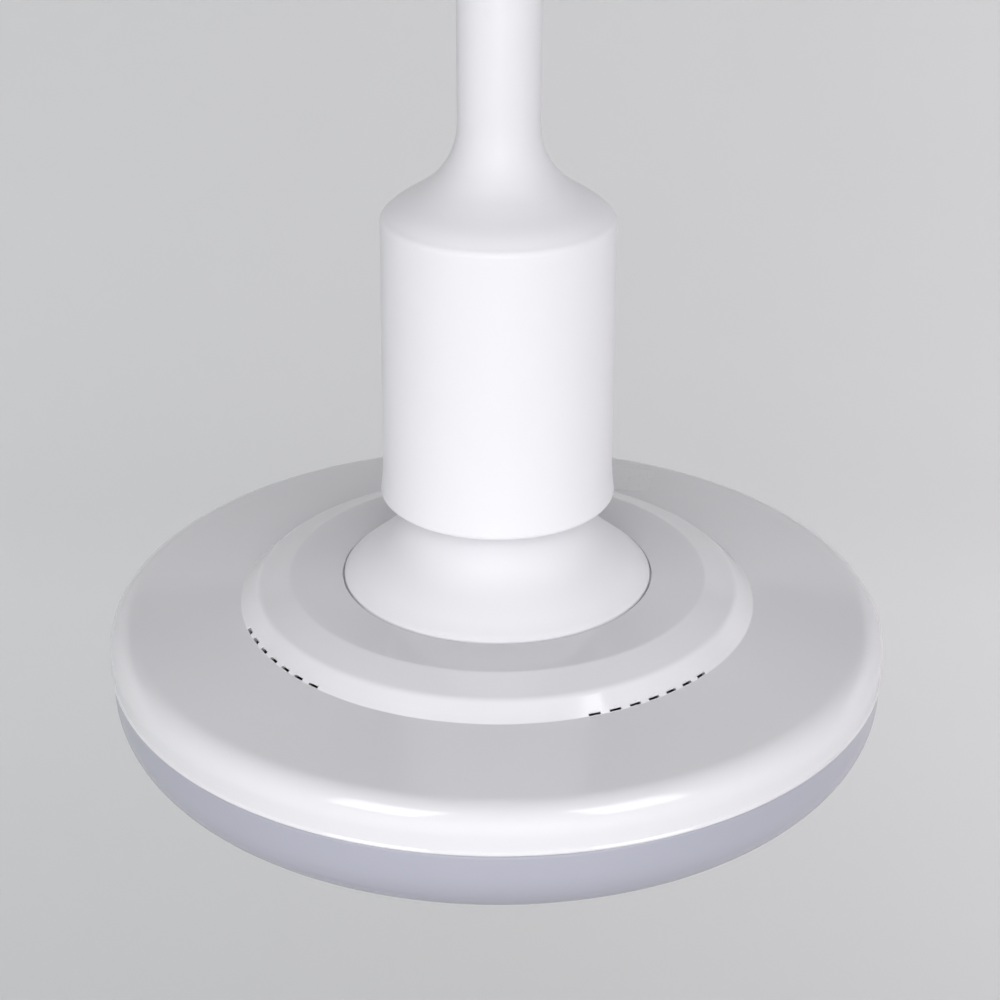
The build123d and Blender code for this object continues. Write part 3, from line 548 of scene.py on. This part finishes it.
# painted shade: stem_enamel is 8% darker than BODY to dim the stem
mats["stem_enamel"] = moulded("stem_enamel", times(BODY, 0.92), (0.22, 0.30), 1.3, 1.5)
mats["holder_plastic"] = moulded("holder_plastic", (0.80, 0.80, 0.78), (0.2, 0.3), 1.0)
mats["connector_white"] = moulded("connector_white", (0.82, 0.81, 0.77), (0.3, 0.4), 1.0)
mats["capacitor_can"] = moulded("capacitor_can", (0.06, 0.07, 0.10), (0.25, 0.38), 1.0)
mats["component_body"] = matt("component_body", (0.05, 0.05, 0.055), (0.4, 0.55), 900)
mats["block_plastic"] = matt("block_plastic", (0.72, 0.71, 0.66), (0.35, 0.5), 700)
mats["block_ceramic"] = matt("block_ceramic", (0.80, 0.77, 0.71), (0.25, 0.4), 500, 0.00004, 0.05, 1.55, speck=(0.55, 0.48, 0.40))
mats["black_rubber"] = matt("black_rubber", (0.022, 0.022, 0.024), (0.6, 0.8), 1200, 0.00005)
mats["standoff_nylon"] = matt("standoff_nylon", (0.72, 0.71, 0.68), (0.35, 0.5), 600)
mats["sheet_fish"] = matt("sheet_fish", (0.55, 0.54, 0.44), (0.55, 0.7), 400, 0.00005, 0.08, speck=(0.42, 0.40, 0.30))
mats["ferrite"] = matt("ferrite", (0.06, 0.058, 0.055), (0.55, 0.75), 1500, 0.00005, 0.12, speck=(0.12, 0.12, 0.12))
mats["cap_glass"] = moulded("cap_glass", (0.012, 0.012, 0.016), (0.06, 0.14), 1.0, 1.52)
mats["zinc_steel"] = metal("zinc_steel", (0.60, 0.62, 0.65), (0.26, 0.42), (1, 1, 1), 420, patches=520)
mats["carrier_steel"] = metal("carrier_steel", (0.56, 0.57, 0.60), (0.24, 0.36), (1, 1, 0.2), 700)
mats["terminal_brass"] = metal("terminal_brass", (0.72, 0.52, 0.22), (0.22, 0.34), (1, 1, 0.2), 800)
mats["shell_nickel"] = metal("shell_nickel", (0.66, 0.63, 0.58), (0.14, 0.26), (0.3, 0.3, 1), 700)
mats["cap_nickel"] = metal("cap_nickel", (0.68, 0.66, 0.62), (0.12, 0.24), (0.3, 0.3, 1), 700)
mats["tip_solder"] = metal("tip_solder", (0.62, 0.62, 0.61), (0.22, 0.40), (1, 1, 1), 900, 0.00005, 0.16)
mats["contact_bronze"] = metal("contact_bronze", (0.70, 0.44, 0.22), (0.22, 0.34), (1, 1, 0.3), 900)
mats["spring_steel"] = metal("spring_steel", (0.50, 0.51, 0.53), (0.2, 0.32), (1, 1, 0.3), 1200)
mats["plate_aluminium"] = metal("plate_aluminium", (0.72, 0.73, 0.74), (0.30, 0.44), (1, 0.06, 1), 500, 0.00002, 0.06)
mats["wire_brown"] = insulated("wire_brown", (0.16, 0.055, 0.022))
mats["wire_blue"] = insulated("wire_blue", (0.03, 0.11, 0.42))
mats["wire_earth"] = insulated("wire_earth", (0.05, 0.27, 0.04), ("X", -0.0102, 0.004, (0.72, 0.62, 0.03)))
mats["lead_red"] = insulated("lead_red", (0.42, 0.012, 0.012))
mats["lead_black"] = insulated("lead_black", (0.018, 0.018, 0.018))
mats["lead_pair"] = insulated("lead_pair", (0.62, 0.62, 0.62))
mats["board_white"] = board("board_white", (0.80, 0.80, 0.79), (0.84, 0.84, 0.83), (0.66, 0.60, 0.44), ring=0.018)
mats["board_green"] = board("board_green", (0.02, 0.16, 0.06), (0.03, 0.24, 0.09), (0.70, 0.62, 0.45))


def opal(name):
    """Opal diffuser: lavender grey when unlit, a fine satin skin, slightly clouded through its depth."""
    f = Finish(name)
    deep = f.noise(14, 2, 0.4)
    tone = f.mix(f.remap(deep, 0.0, 1.0, 0, 1), (0.448, 0.452, 0.530), (0.480, 0.484, 0.556))
    grain = f.noise(1300, 1, 0.4)
    tone = f.mix(f.remap(grain, 0.0, 1.0, 0, 0.2), tone, (0.44, 0.445, 0.52))
    f.colour(tone)
    f.rough(f.remap(f.noise(26, 1, 0.4), 0.0, 1.0, 0.18, 0.24))
    f.bump(grain, 0.10, 0.00002)
    f.set(IOR=1.49)
    return f.m


def paper(name):
    """Blank satin sticker: film over paper fibres."""
    f = Finish(name)
    fibre = f.noise(900, 4, 0.7, 1.2, f.stretched(1, 0.35, 1))
    tone = f.mix(f.remap(fibre, 0.3, 0.7, 0, 1), (0.875, 0.875, 0.895), (0.905, 0.905, 0.925))
    f.colour(tone)
    f.rough(f.remap(fibre, 0.3, 0.7, 0.26, 0.34))
    f.bump(fibre, 0.25, 0.00003)
    f.set(IOR=1.46)
    return f.m


def phosphor(name):
    f = Finish(name)
    g = f.noise(2600, 3, 0.6)
    f.colour(f.mix(f.remap(g, 0.3, 0.7, 0, 1), (0.78, 0.60, 0.10), (0.86, 0.72, 0.22)))
    f.rough(f.remap(g, 0.3, 0.7, 0.35, 0.5))
    f.bump(g, 0.3, 0.00002)
    f.set(IOR=1.5)
    return f.m


mats["opal_diffuser"] = opal("opal_diffuser")
mats["sticker_paper"] = paper("sticker_paper")
mats["led_phosphor"] = phosphor("led_phosphor")


def floor_finish(name):
    f = Finish(name)
    broad = f.noise(0.5, 3, 0.5)
    tone = f.mix(f.remap(broad, 0.3, 0.7, 0, 1), (0.665, 0.660, 0.668), (0.685, 0.680, 0.690))
    # painted shade: the floor's tone darkens by up to 13% where y is below 1.7 m, fading out by y 2.9 m
    f.colour(f.mix(f.remap(f.axis("Y"), 1.7, 2.9, 0.13, 0.0), tone, (0.0, 0.0, 0.0)))
    f.rough(f.remap(f.noise(3.0, 3, 0.5), 0.3, 0.7, 0.7, 0.9))
    f.bump(f.noise(240, 2, 0.5), 0.1, 0.0001)
    return f.m


def finish(ob, slot, body=None, replaces=()):
    """Gives a new piece its material, its body and the CAD nodes it stands for."""
    if not ob.data.materials:
        ob.data.materials.append(mats[slot])
    if replaces:
        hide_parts(*replaces)
    if body:
        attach(ob, body)
    return ob


# ===================================================== the CAD nodes that stay
CAD_FINISH = {
    "ceiling_plate": "zinc_steel", "cable_grommet": "black_rubber", "hanger_yoke": "zinc_steel",
    "yoke_screws": "zinc_steel", "terminal_block": "block_plastic", "terminal_inserts": "terminal_brass",
    "terminal_screws": "zinc_steel", "terminal_block_screw": "zinc_steel", "earth_screw": "zinc_steel",
    "earth_lug": "terminal_brass", "earth_wire": "wire_earth", "live_wire": "wire_brown",
    "neutral_wire": "wire_blue", "carrier_tube": "carrier_steel", "lock_nuts": "zinc_steel",
    "lock_washers": "zinc_steel", "top_bush": "zinc_steel", "stem_tube": "stem_enamel",
    "joint_bush": "zinc_steel", "lampholder_housing": "housing_white", "holder_dome": "holder_plastic",
    "dome_grub_screw": "zinc_steel", "contact_block": "block_ceramic", "live_terminal": "terminal_brass",
    "neutral_terminal": "terminal_brass", "holder_terminal_screws": "zinc_steel",
    "screw_shell": "shell_nickel", "holder_skirt": "holder_plastic", "contact_spring": "spring_steel",
    "canopy": "white_enamel", "canopy_collar": "white_enamel", "collar_grub_screw": "zinc_steel",
    "centre_contact": "contact_bronze", "cap_shell": "cap_nickel", "cap_insulator": "cap_glass",
    "cap_tip": "tip_solder", "lamp_neck": "neck_white", "neck_screws": "zinc_steel",
    "top_cover": "cover_white", "blank_label": "sticker_paper", "led_plate": "plate_aluminium",
    "led_board": "board_white", "led_chips": "led_phosphor", "board_screws": "zinc_steel",
    "insulating_sheet": "sheet_fish", "driver_standoffs": "standoff_nylon", "driver_board": "board_green",
    "driver_screws": "zinc_steel", "driver_transformer": "ferrite", "driver_capacitors": "capacitor_can",
    "driver_small_parts": "component_body", "cap_lead_live": "lead_red", "cap_lead_neutral": "lead_black",
    "board_connector": "connector_white", "led_leads": "lead_pair", "diffuser": "opal_diffuser",
}
for name, ob in nodes.items():
    ob.data.materials.clear()
    ob.data.materials.append(mats[CAD_FINISH[name]])
    for poly in ob.data.polygons:
        poly.material_index = 0

# sharp stamped and moulded parts get a small broken edge
BROKEN_EDGES = {
    "ceiling_plate": 0.12, "hanger_yoke": 0.18, "yoke_screws": 0.10, "terminal_block": 0.25,
    "terminal_screws": 0.08, "terminal_block_screw": 0.10, "earth_screw": 0.10, "earth_lug": 0.10,
    "lock_washers": 0.10, "top_bush": 0.15, "joint_bush": 0.15, "holder_terminal_screws": 0.08,
    "live_terminal": 0.12, "neutral_terminal": 0.12, "driver_transformer": 0.15,
    "driver_small_parts": 0.12, "board_connector": 0.12, "driver_board": 0.08, "led_board": 0.08,
    "led_plate": 0.08, "neck_screws": 0.08, "board_screws": 0.08, "driver_screws": 0.08,
    "driver_standoffs": 0.08, "collar_grub_screw": 0.08, "dome_grub_screw": 0.06,
}
for name, width in BROKEN_EDGES.items():
    ob = nodes[name]
    weld = ob.modifiers.new("weld", "WELD")
    weld.merge_threshold = 1e-6
    bev = ob.modifiers.new("edges", "BEVEL")
    bev.width = width * 0.001
    bev.segments = 2
    bev.limit_method = "ANGLE"
    bev.angle_limit = radians(45)
    bev.harden_normals = False

# ================================================================ ceiling end
canopy_line = rounded([(55, 0, 0.3), (55, -46, 16), (12.9, -46, 0.2), (12.9, -45, 0.2), (54, -45, 15), (54, 0, 0.3)], 14)
canopy = lathe("canopy_cup", canopy_line, 256, 0.0)
finish(canopy, "white_enamel", "canopy_set", ["canopy"])

collar = lathe("canopy_collar_ring", rounded([(12.5, -46, 0.3), (18.5, -46, 0.6), (18.5, -57, 2.2), (12.5, -57, 0.5)], 8), 160, 0.0)
hole = lathe("cutter", [(0, -6), (1.52, -6), (1.52, 6), (0, 6)], 40, 0.0)
hole.data.transform(Matrix.Translation((0, 0.0155, -0.0515)) @ Matrix.Rotation(radians(90), 4, "X"))
boolean(collar, hole, "DIFFERENCE")
finish(collar, "white_enamel", "canopy_set", ["canopy_collar"])

# hexagon nuts with the turned chamfer that cuts their corners back
nuts = []
for seat in (-33.2, -38.1, 142.5 - DROP):
    apothem = 7.0
    hexagon = [(apothem / cos(pi / 6) * cos(pi / 3 * k), apothem / cos(pi / 6) * sin(pi / 3 * k)) for k in range(6)]
    nut = prism(hexagon, seat * 0.001, (seat + 2.5) * 0.001, "nut")
    turned = lathe("cutter", [(5.0, seat), (7.05, seat), (8.10, seat + 0.5), (8.10, seat + 2.0), (7.05, seat + 2.5), (5.0, seat + 2.5)], 72, 0.0)
    boolean(nut, turned, "INTERSECT")
    nuts.append(nut)
nuts = merge("lock_nuts_chamfered", nuts, 28)
finish(nuts, "zinc_steel", "fixture", ["lock_nuts"])


# ======================================================================= stem
def screw_surface(outer, inner, segs, rows_mm, lift=0.0):
    """Closed tube whose outer and inner radius (mm) depend on height (mm) and angle."""
    verts, faces = [], []
    n = len(rows_mm)
    angles = [2 * pi * i / segs for i in range(segs)]
    for fn in (outer, inner):
        for z in rows_mm:
            for a in angles:
                r = fn(z, a) * 0.001
                verts.append((r * cos(a), r * sin(a), (z + lift) * 0.001))
    base = n * segs
    for k in range(n - 1):
        for i in range(segs):
            j = (i + 1) % segs
            faces.append((k * segs + i, k * segs + j, (k + 1) * segs + j, (k + 1) * segs + i))
            faces.append((base + k * segs + i, base + (k + 1) * segs + i, base + (k + 1) * segs + j, base + k * segs + j))
    for i in range(segs):
        j = (i + 1) % segs
        faces.append((i, base + i, base + j, j))
        top = (n - 1) * segs
        faces.append((top + i, top + j, base + top + j, base + top + i))
    return verts, faces


def ease(x):
    x = max(0.0, min(1.0, x))
    return x * x * (3 - 2 * x)


z_low, z_high = 132.0 - DROP, -27.5
rows = list(np.arange(z_low, z_high, 0.2)) + [z_high]


def carrier_outer(z, a):
    fade = min(ease((z - z_low) / 1.2), ease((z_high - z) / 1.2))
    saw = abs(((z - a / (2 * pi)) % 1.0) * 2 - 1)  # 0 at the root, 1 at the crest
    return 4.62 + (0.36 * min(1.0, saw * 1.25)) * fade - 0.25 * (1 - fade)


carrier = new_object("carrier_thread", *screw_surface(carrier_outer, lambda z, a: 3.9, 36, rows), sharp=60)
finish(carrier, "carrier_steel", "fixture", ["carrier_tube"])

stem = lathe("stem_cover", rounded([(12.4, 233 - DROP, 0.3), (12.4, -40.1, 0.3), (11.2, -40.1, 0.1), (11.2, 233 - DROP, 0.1)], 5), 192, 0.0)
finish(stem, "stem_enamel", "fixture", ["stem_tube"])

# ================================================================= lampholder
flare_c = 12.4 + 23.5
flare = [(flare_c - 23.5 * cos(a), 173.3 - 23.5 * sin(a)) for a in np.linspace(0, 0.86, 25)]
house = [(10.4, 233.0), (12.15, 233.0), (12.33, 232.93), (12.4, 232.75)]
house += flare
house += spline([(20.56, 155.49), (24.4, 152.65), (28.4, 150.15), (31.8, 147.85), (34.4, 145.5)], 20)[1:-1]
house += arc3((34.4, 145.5), (35.35, 144.4), (35.6, 142.9), 10)
house += arc3((36.0, 64.5), (36.22, 60.0), (36.7, 55.7), 10)
house += arc3((36.7, 55.7), (36.45, 54.3), (35.3, 53.7), 8)[1:]
house += [(34.6, 53.7), (34.4, 53.78), (34.15, 54.1), (33.9, 54.9), (33.42, 139.9), (33.1, 140.7), (25.2, 145.9), (24.8, 146.0)]
house += [(5.3, 146.0), (5.3, 150.0), (17.0, 150.0), (17.5, 154.5), (13.5, 160.5), (10.4, 170.0)]
housing = lathe("housing_shell", house, 288)
finish(housing, "housing_white", "fixture", ["lampholder_housing"])

neck_outer = spline([(49.0, 26.2), (42.0, 32.0), (34.6, 39.0), (30.0, 46.0), (26.3, 53.5), (22.6, 62.0), (18.6, 71.0), (16.2, 76.5)], 56)
neck_inner = spline([(13.6, 75.6), (16.6, 69.4), (20.6, 60.6), (24.2, 52.4), (27.9, 44.8), (32.6, 37.6), (40.0, 30.6), (46.6, 25.0)], 48)
neck_line = [(62.0, 21.7), (62.0, 23.7), (49.0, 23.7), (49.0, 25.6)] + [(48.97, 25.95)] + [p for p in neck_outer if p[0] < 48.6]
neck_line += [(15.6, 77.2), (15.6, 79.0), (11.7, 79.0), (11.7, 95.0), (9.7, 95.0), (9.7, 79.0)] + neck_inner + [(46.6, 21.7)]
neck = lathe("neck_cone", neck_line, 288)
holes = merge("cutter", [prism(circle(56 * cos(a), 56 * sin(a), 1.7, 24), H(21.0), H(24.2)) for a in (pi / 4 + pi / 2 * k for k in range(4))])
boolean(neck, holes, "DIFFERENCE")
finish(neck, "neck_white", "lamp", ["lamp_neck"])


def thread(z, a, lo, hi):
    """Edison thread, right-handed: 0 at the root, 1 at the crest, run out at lo and hi."""
    phase = (z - 81.0) / PITCH - a / (2 * pi)
    return (0.5 - 0.5 * cos(2 * pi * phase)) * min(ease((z - lo) / 1.4), ease((hi - z) / 1.4))


cap_rows = [79.0, 79.15, 80.05, 80.2, 80.5, 81.0] + list(np.arange(81.2, 100.2, 0.2)) + [100.4, 100.8, 101.1, 101.3]


def cap_outer(z, a):
    if z <= 80.2:
        return 13.9 - (0.12 if z in (79.0, 80.2) else 0.0)
    if z <= 81.0:
        return 13.9 + (12.3 - 13.9) * (z - 80.2) / 0.8
    if z >= 100.4:
        return 12.3 - 0.9 * ((z - 100.4) / 0.9) ** 1.6
    return 12.3 + 0.8 * thread(z, a, 81.0, 99.8)


cap = new_object("cap_thread", *screw_surface(cap_outer, lambda z, a: cap_outer(z, a) - 0.4, 180, cap_rows, -DROP), sharp=50)
finish(cap, "cap_nickel", "lamp", ["cap_shell"])

shell_rows = [82.0, 82.2, 82.6] + list(np.arange(82.8, 105.0, 0.2)) + [105.4, 106.0, 106.6]


def shell_inner(z, a):
    """0.25 mm clear of the lamp's thread at every turn."""
    return 13.45 - 0.9 * (0.5 + 0.5 * cos(2 * pi * ((z - 81.0) / PITCH - a / (2 * pi)))) * min(ease((z - 82.4) / 2.0), ease((104.6 - z) / 1.6))


def shell_outer(z, a):
    return min(13.84, shell_inner(z, a) + 0.38)


verts, faces = screw_surface(shell_outer, shell_inner, 180, shell_rows, -DROP)
sleeve = new_object("shell_sleeve", verts, faces, 0)
flange = lathe("cutter", [(9.0, 106.55), (13.85, 106.55), (13.85, 107.0), (9.0, 107.0)], 180, sharp=0)
shell = merge("shell_thread", [sleeve, flange], 50)
finish(shell, "shell_nickel", "fixture", ["screw_shell"])

# coil spring: closed end turns, open coils between them
turns, per = 6.4, 40
coil = []
for k in range(int(turns * per) + 1):
    t = k / per
    if t < 1.0:
        z = 0.64 * t
    elif t > turns - 1.0:
        z = 6.8 - 0.64 * (turns - t)
    else:
        z = 0.64 + (6.8 - 1.28) * (t - 1.0) / (turns - 2.0)
    coil.append((0.00295 * cos(2 * pi * t), 0.00295 * sin(2 * pi * t), H(108.8 + z)))
spring = tube_along("contact_coil", coil, 0.0003, 12)
finish(spring, "spring_steel", None, ["contact_spring"])
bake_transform(spring)

# ======================================================================= lamp
base_r, base_z, slope, disc_r = 82.4, 17.15, 0.0712, 124.9
corner_z = base_z - slope * (disc_r - base_r)
cover_line = rounded(
    [
        (49.6, 23.7, 0.15), (49.6, 25.7, 0.4), (66.6, 25.7, 4.0), (77.0, 22.2, 5.0), (base_r, base_z, 0.5),
        (disc_r + 0.13, corner_z, 8.4), (124.2, 1.2, 0.5), (124.7, 0.55, 0.12), (124.55, 0.0, 0.15), (122.5, 0.0, 0.3), (122.8, corner_z - 2.0, 6.5),
        (base_r - 0.9, base_z - 2.0, 1.0), (76.2, 20.2, 1.0), (66.3, 23.7, 1.0),
    ],
    14,
)
for i in range(len(cover_line) - 1, 0, -1):
    (r0, z0), (r1, z1) = cover_line[i - 1], cover_line[i]
    if z0 - z1 > 3.5 and r1 - r0 > 3.5:  # the steep ring stays straight right up to its rounded ends
        n = hypot(r1 - r0, z1 - z0)
        cover_line[i:i] = [(r0 + (r1 - r0) * t / n, z0 + (z1 - z0) * t / n) for t in (0.15, n - 0.15)]
cover = lathe("cover_shell", cover_line, 480)
posts = merge("cutter", [prism(circle(100 * cos(a), 100 * sin(a), 3.2, 40), H(4.2), H(14.9)) for a in (pi / 6 + pi / 3 * k for k in range(6))])
boolean(cover, posts, "UNION")
cuts = [prism(circle(100 * cos(a), 100 * sin(a), 1.35, 24), H(3.0), H(12.2)) for a in (pi / 6 + pi / 3 * k for k in range(6))]
cuts += [prism(circle(56 * cos(a), 56 * sin(a), 1.35, 24), H(22.0), H(25.0)) for a in (pi / 4 + pi / 2 * k for k in range(4))]
for g in range(4):
    for k in range(7):
        a = radians((-146.25, -55.3, 34.05, 124.05)[g] + (k - 3) * 4.73)
        c, s = cos(a), sin(a)

        def box_at(r0, r1, w, corner=0.45):
            pts = [p for p in rounded([(r0, -w, 0), (r1, -w, corner), (r1, w, corner), (r0, w, 0)], 4)]
            return [(x * c - y * s, x * s + y * c) for x, y in pts]

        cuts.append(prism(box_at(81.45, 82.3, 1.9, 0.25), H(16.3), H(20.1)))
        cuts.append(prism(box_at(78.4, 82.0, 2.55, 0.2), H(13.2), H(17.45)))
grooves = [c for i, c in enumerate(cuts) if i >= 10 and (i - 10) % 2 == 0]
tunnels = [c for i, c in enumerate(cuts) if i >= 10 and (i - 10) % 2 == 1]
boolean(cover, merge("cutter", cuts[:10]), "DIFFERENCE", 0)
boolean(cover, merge("cutter", grooves), "DIFFERENCE", 0)
boolean(cover, merge("cutter", tunnels), "DIFFERENCE", 30)
finish(cover, "cover_white", "lamp", ["top_cover"])

dish_line = rounded(
    [
        (0, -27.0, 0), (123.6, -25.2, 18.0), (124.1, -0.3, 1.2), (122.1, -0.3, 0), (122.1, 2.9, 0.3), (120.3, 2.9, 0.3),
        (120.3, -1.6, 0), (121.9, -3.0, 1.0), (121.8, -23.4, 16.2), (0, -25.2, 0),
    ],
    16,
)
dish = lathe("diffuser_dish", dish_line, 480)
finish(dish, "opal_diffuser", "lamp", ["diffuser"])

# blank sticker that follows the cone of the flat, one corner just lifting
label_az = radians(80.0)
across = np.linspace(-1, 1, 13)
along = np.concatenate([27 - 3 * (1 - np.cos(np.linspace(0, pi / 2, 7))), np.linspace(24, -24, 27)[1:-1], -(27 - 3 * (1 - np.cos(np.linspace(pi / 2, 0, 7))))])
top, low = [], []
for v in along:
    half = 8 + sqrt(max(0.0, 9 - (abs(v) - 24) ** 2)) if abs(v) > 24 else 11.0
    for u in across * half:
        x, y = 96.0 + u, -12.0 + v
        r = hypot(x, y)
        z = base_z - slope * (r - base_r)
        lift = 0.16 * ease((u + v * 0.6 - 15) / 10)
        px, py = x * cos(label_az) - y * sin(label_az), x * sin(label_az) + y * cos(label_az)
        top.append((px * 0.001, py * 0.001, H(z + 0.11 + lift)))
        low.append((px * 0.001, py * 0.001, H(z + 0.01 + lift)))
nv, nu = len(along), len(across)
faces = []
for i in range(nv - 1):
    for j in range(nu - 1):
        q = (i * nu + j, i * nu + j + 1, (i + 1) * nu + j + 1, (i + 1) * nu + j)
        faces.append(q[::-1])
        faces.append(tuple(nu * nv + x for x in q))
rim = [j for j in range(nu)] + [i * nu + nu - 1 for i in range(1, nv)] + [(nv - 1) * nu + j for j in range(nu - 2, -1, -1)] + [i * nu for i in range(nv - 2, 0, -1)]
for a, b in zip(rim, rim[1:] + rim[:1]):
    faces.append((a, b, b + nu * nv, a + nu * nv))
sticker = new_object("sticker_blank", top + low, faces, 0)
bm = bmesh.new()
bm.from_mesh(sticker.data)
bmesh.ops.recalc_face_normals(bm, faces=bm.faces)
bm.to_mesh(sticker.data)
bm.free()
shade(sticker, 30)
finish(sticker, "sticker_paper", "lamp", ["blank_label"])

# LED packages: white frame, sunk phosphor window
verts, faces, window = [], [], []
for ring_r, count in ((24, 6), (42, 12), (60, 18), (78, 24), (93, 30)):
    for k in range(count):
        a = radians(2.0) + 2 * pi * k / count
        c, s = cos(a), sin(a)

        def put(x, y, z):
            x += ring_r
            verts.append(((x * c - y * s) * 0.001, (x * s + y * c) * 0.001, H(z)))

        n0 = len(verts)
        for hx, hy, z in ((1.4, 1.75, 1.6), (1.4, 1.75, 0.95), (1.34, 1.69, 0.9), (1.12, 1.47, 0.9), (1.05, 1.40, 1.05)):
            for sx, sy in ((-1, -1), (1, -1), (1, 1), (-1, 1)):
                put(sx * hx, sy * hy, z)
        faces.append((n0, n0 + 1, n0 + 2, n0 + 3))
        for level in range(4):
            for i in range(4):
                j = (i + 1) % 4
                p, q = n0 + level * 4, n0 + level * 4 + 4
                faces.append((p + i, q + i, q + j, p + j))
        window.append(len(faces))
        faces.append((n0 + 19, n0 + 18, n0 + 17, n0 + 16))
chips = new_object("led_packages", verts, faces, 30)
package = matt("led_package", (0.80, 0.80, 0.78), (0.3, 0.45), 900)
chips.data.materials.append(package)
chips.data.materials.append(mats["led_phosphor"])
for i in window:
    chips.data.polygons[i].material_index = 1
finish(chips, "led_phosphor", "lamp", ["led_chips"])

# ================================================================ studio
bay = [(0.0, -2.0)] + [(r, -2.0) for r in (0.5, 1.0, 2.0, 3.4)]
bay += [(3.4 + 1.4 * sin(a), -0.6 - 1.4 * cos(a)) for a in np.linspace(0, pi / 2, 17)[1:]]
bay += [(4.8, 0.6), (4.8, 1.8)]
segs = 96
verts = [(r * cos(2 * pi * i / segs), r * sin(2 * pi * i / segs), z) for r, z in bay[1:] for i in range(segs)] + [(0, 0, -2.0)]
faces = [((k * segs + i), (k * segs + (i + 1) % segs), ((k + 1) * segs + (i + 1) % segs), ((k + 1) * segs + i)) for k in range(len(bay) - 2) for i in range(segs)]
faces += [(i, len(verts) - 1, (i + 1) % segs) for i in range(segs)]
floor = new_object("studio_floor", verts, faces, 60)
floor.data.materials.append(floor_finish("floor_pale"))
floor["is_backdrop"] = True

AIM = Vector((0.0, -0.05, -0.42))


def panel(name, place, target, width, height, watts, tint=(1, 1, 1)):
    """Rectangular area light at a place (metres), facing a target."""
    data = bpy.data.lights.new(name, "AREA")
    data.shape = "RECTANGLE"
    data.size, data.size_y = width, height
    data.energy = watts
    data.color = tint
    ob = bpy.data.objects.new(name, data)
    ob.location = place
    ob.rotation_euler = (Vector(place) - Vector(target)).to_track_quat("Z", "Y").to_euler()
    bpy.context.scene.collection.objects.link(ob)
    ob.visible_camera = False
    return ob


def softbox(name, azimuth, elevation, distance, width, height, watts, tint=(1, 1, 1)):
    """Panel seen from the lamp at that azimuth (degrees from +X) and elevation."""
    a, e = radians(azimuth), radians(elevation)
    return panel(name, AIM + Vector((cos(a) * cos(e), sin(a) * cos(e), sin(e))) * distance, AIM, width, height, watts, tint)


# the lamp's lights don't reach the floor, which has its own even wash
lamp_parts = bpy.data.collections.new("lamp_parts")
floor_parts = bpy.data.collections.new("floor_parts")
disc_parts = bpy.data.collections.new("disc_parts")
for ob in bpy.context.scene.objects:
    if ob.type == "MESH":
        (floor_parts if ob == floor else lamp_parts).objects.link(ob)
        if ob in (cover, dish, sticker):
            disc_parts.objects.link(ob)
keys = [
    softbox("key_left", -125, 45, 1.7, 0.80, 1.25, 4.0, (1.0, 0.99, 1.0)),
    softbox("key_right", -47, 45, 1.7, 0.80, 1.25, 4.0, (1.0, 0.99, 0.99)),
]
sheens = [
    softbox("sheen_left", -125, 41, 1.7, 0.72, 0.90, 9.0),
    softbox("sheen_right", -47, 41, 1.7, 0.72, 0.90, 9.0),
    softbox("sheen_front", -90, -10, 2.4, 3.4, 2.8, 6.0),
]
fills = [
    softbox("front_level", -90, 0, 2.4, 1.6, 1.6, 24.4, (1.0, 0.995, 1.0)),
    softbox("front_panel", -90, 25, 2.4, 1.6, 1.6, 26.3, (1.0, 0.995, 1.0)),
    softbox("front_low", -90, -25, 2.4, 1.6, 1.6, 2.6),
    softbox("front_left", -135, 0, 2.4, 1.6, 1.6, 4.8),
    softbox("side_right", 0, 0, 2.4, 1.6, 1.6, 10.6),
    softbox("side_left", 180, 0, 2.4, 1.6, 1.6, 5.4),
    softbox("back_high", 90, 45, 2.4, 1.6, 1.6, 11.4),
]
for light in keys + fills:
    light.light_linking.receiver_collection = lamp_parts
for light in sheens:
    light.light_linking.receiver_collection = disc_parts
    light.visible_diffuse = False
for light in keys + fills:
    light.visible_glossy = False
for light in (
    panel("wash_left", (-3.0, 1.0, 1.0), (-1.6, 3.5, -1.8), 2.0, 2.0, 94.0, (0.93, 1.0, 0.972)),
    panel("wash_right", (3.0, 1.0, 1.0), (1.6, 3.5, -1.8), 2.0, 2.0, 137.0, (1.0, 0.968, 0.99)),
):
    light.visible_glossy = False
    light.light_linking.receiver_collection = floor_parts

world = bpy.data.worlds.new("studio")
bpy.context.scene.world = world
world.use_nodes = True
world.node_tree.nodes["Background"].inputs[0].default_value = (0.92, 0.93, 1.0, 1)
world.node_tree.nodes["Background"].inputs[1].default_value = 0.02

# ================================================================ camera
focal, pitch, roll, yaw = 2270.0, radians(25.62), radians(0.228), radians(-0.071)
right = Vector((cos(yaw), sin(yaw), 0))
level = Vector((-sin(yaw), cos(yaw), 0))
ahead = level * cos(pitch) + Vector((0, 0, -1)) * sin(pitch)
up = right.cross(ahead)
x_axis = right * cos(roll) + up * sin(roll)
y_axis = up * cos(roll) - right * sin(roll)
cam_data = bpy.data.cameras.new("camera")
cam_data.sensor_width = 36.0
cam_data.lens = focal / 1000.0 * 36.0
cam_data.clip_start, cam_data.clip_end = 0.02, 60
cam = bpy.data.objects.new("camera", cam_data)
cam.matrix_world = Matrix(
    (
        (x_axis.x, y_axis.x, -ahead.x, 0.0),
        (x_axis.y, y_axis.y, -ahead.y, -0.6498),
        (x_axis.z, y_axis.z, -ahead.z, -0.0933),
        (0, 0, 0, 1),
    )
)
bpy.context.scene.collection.objects.link(cam)
bpy.context.scene.camera = cam

view = bpy.context.scene.view_settings
view.view_transform = "Standard"
view.look = "None"
view.exposure = 0.0
view.gamma = 1.0

low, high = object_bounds()
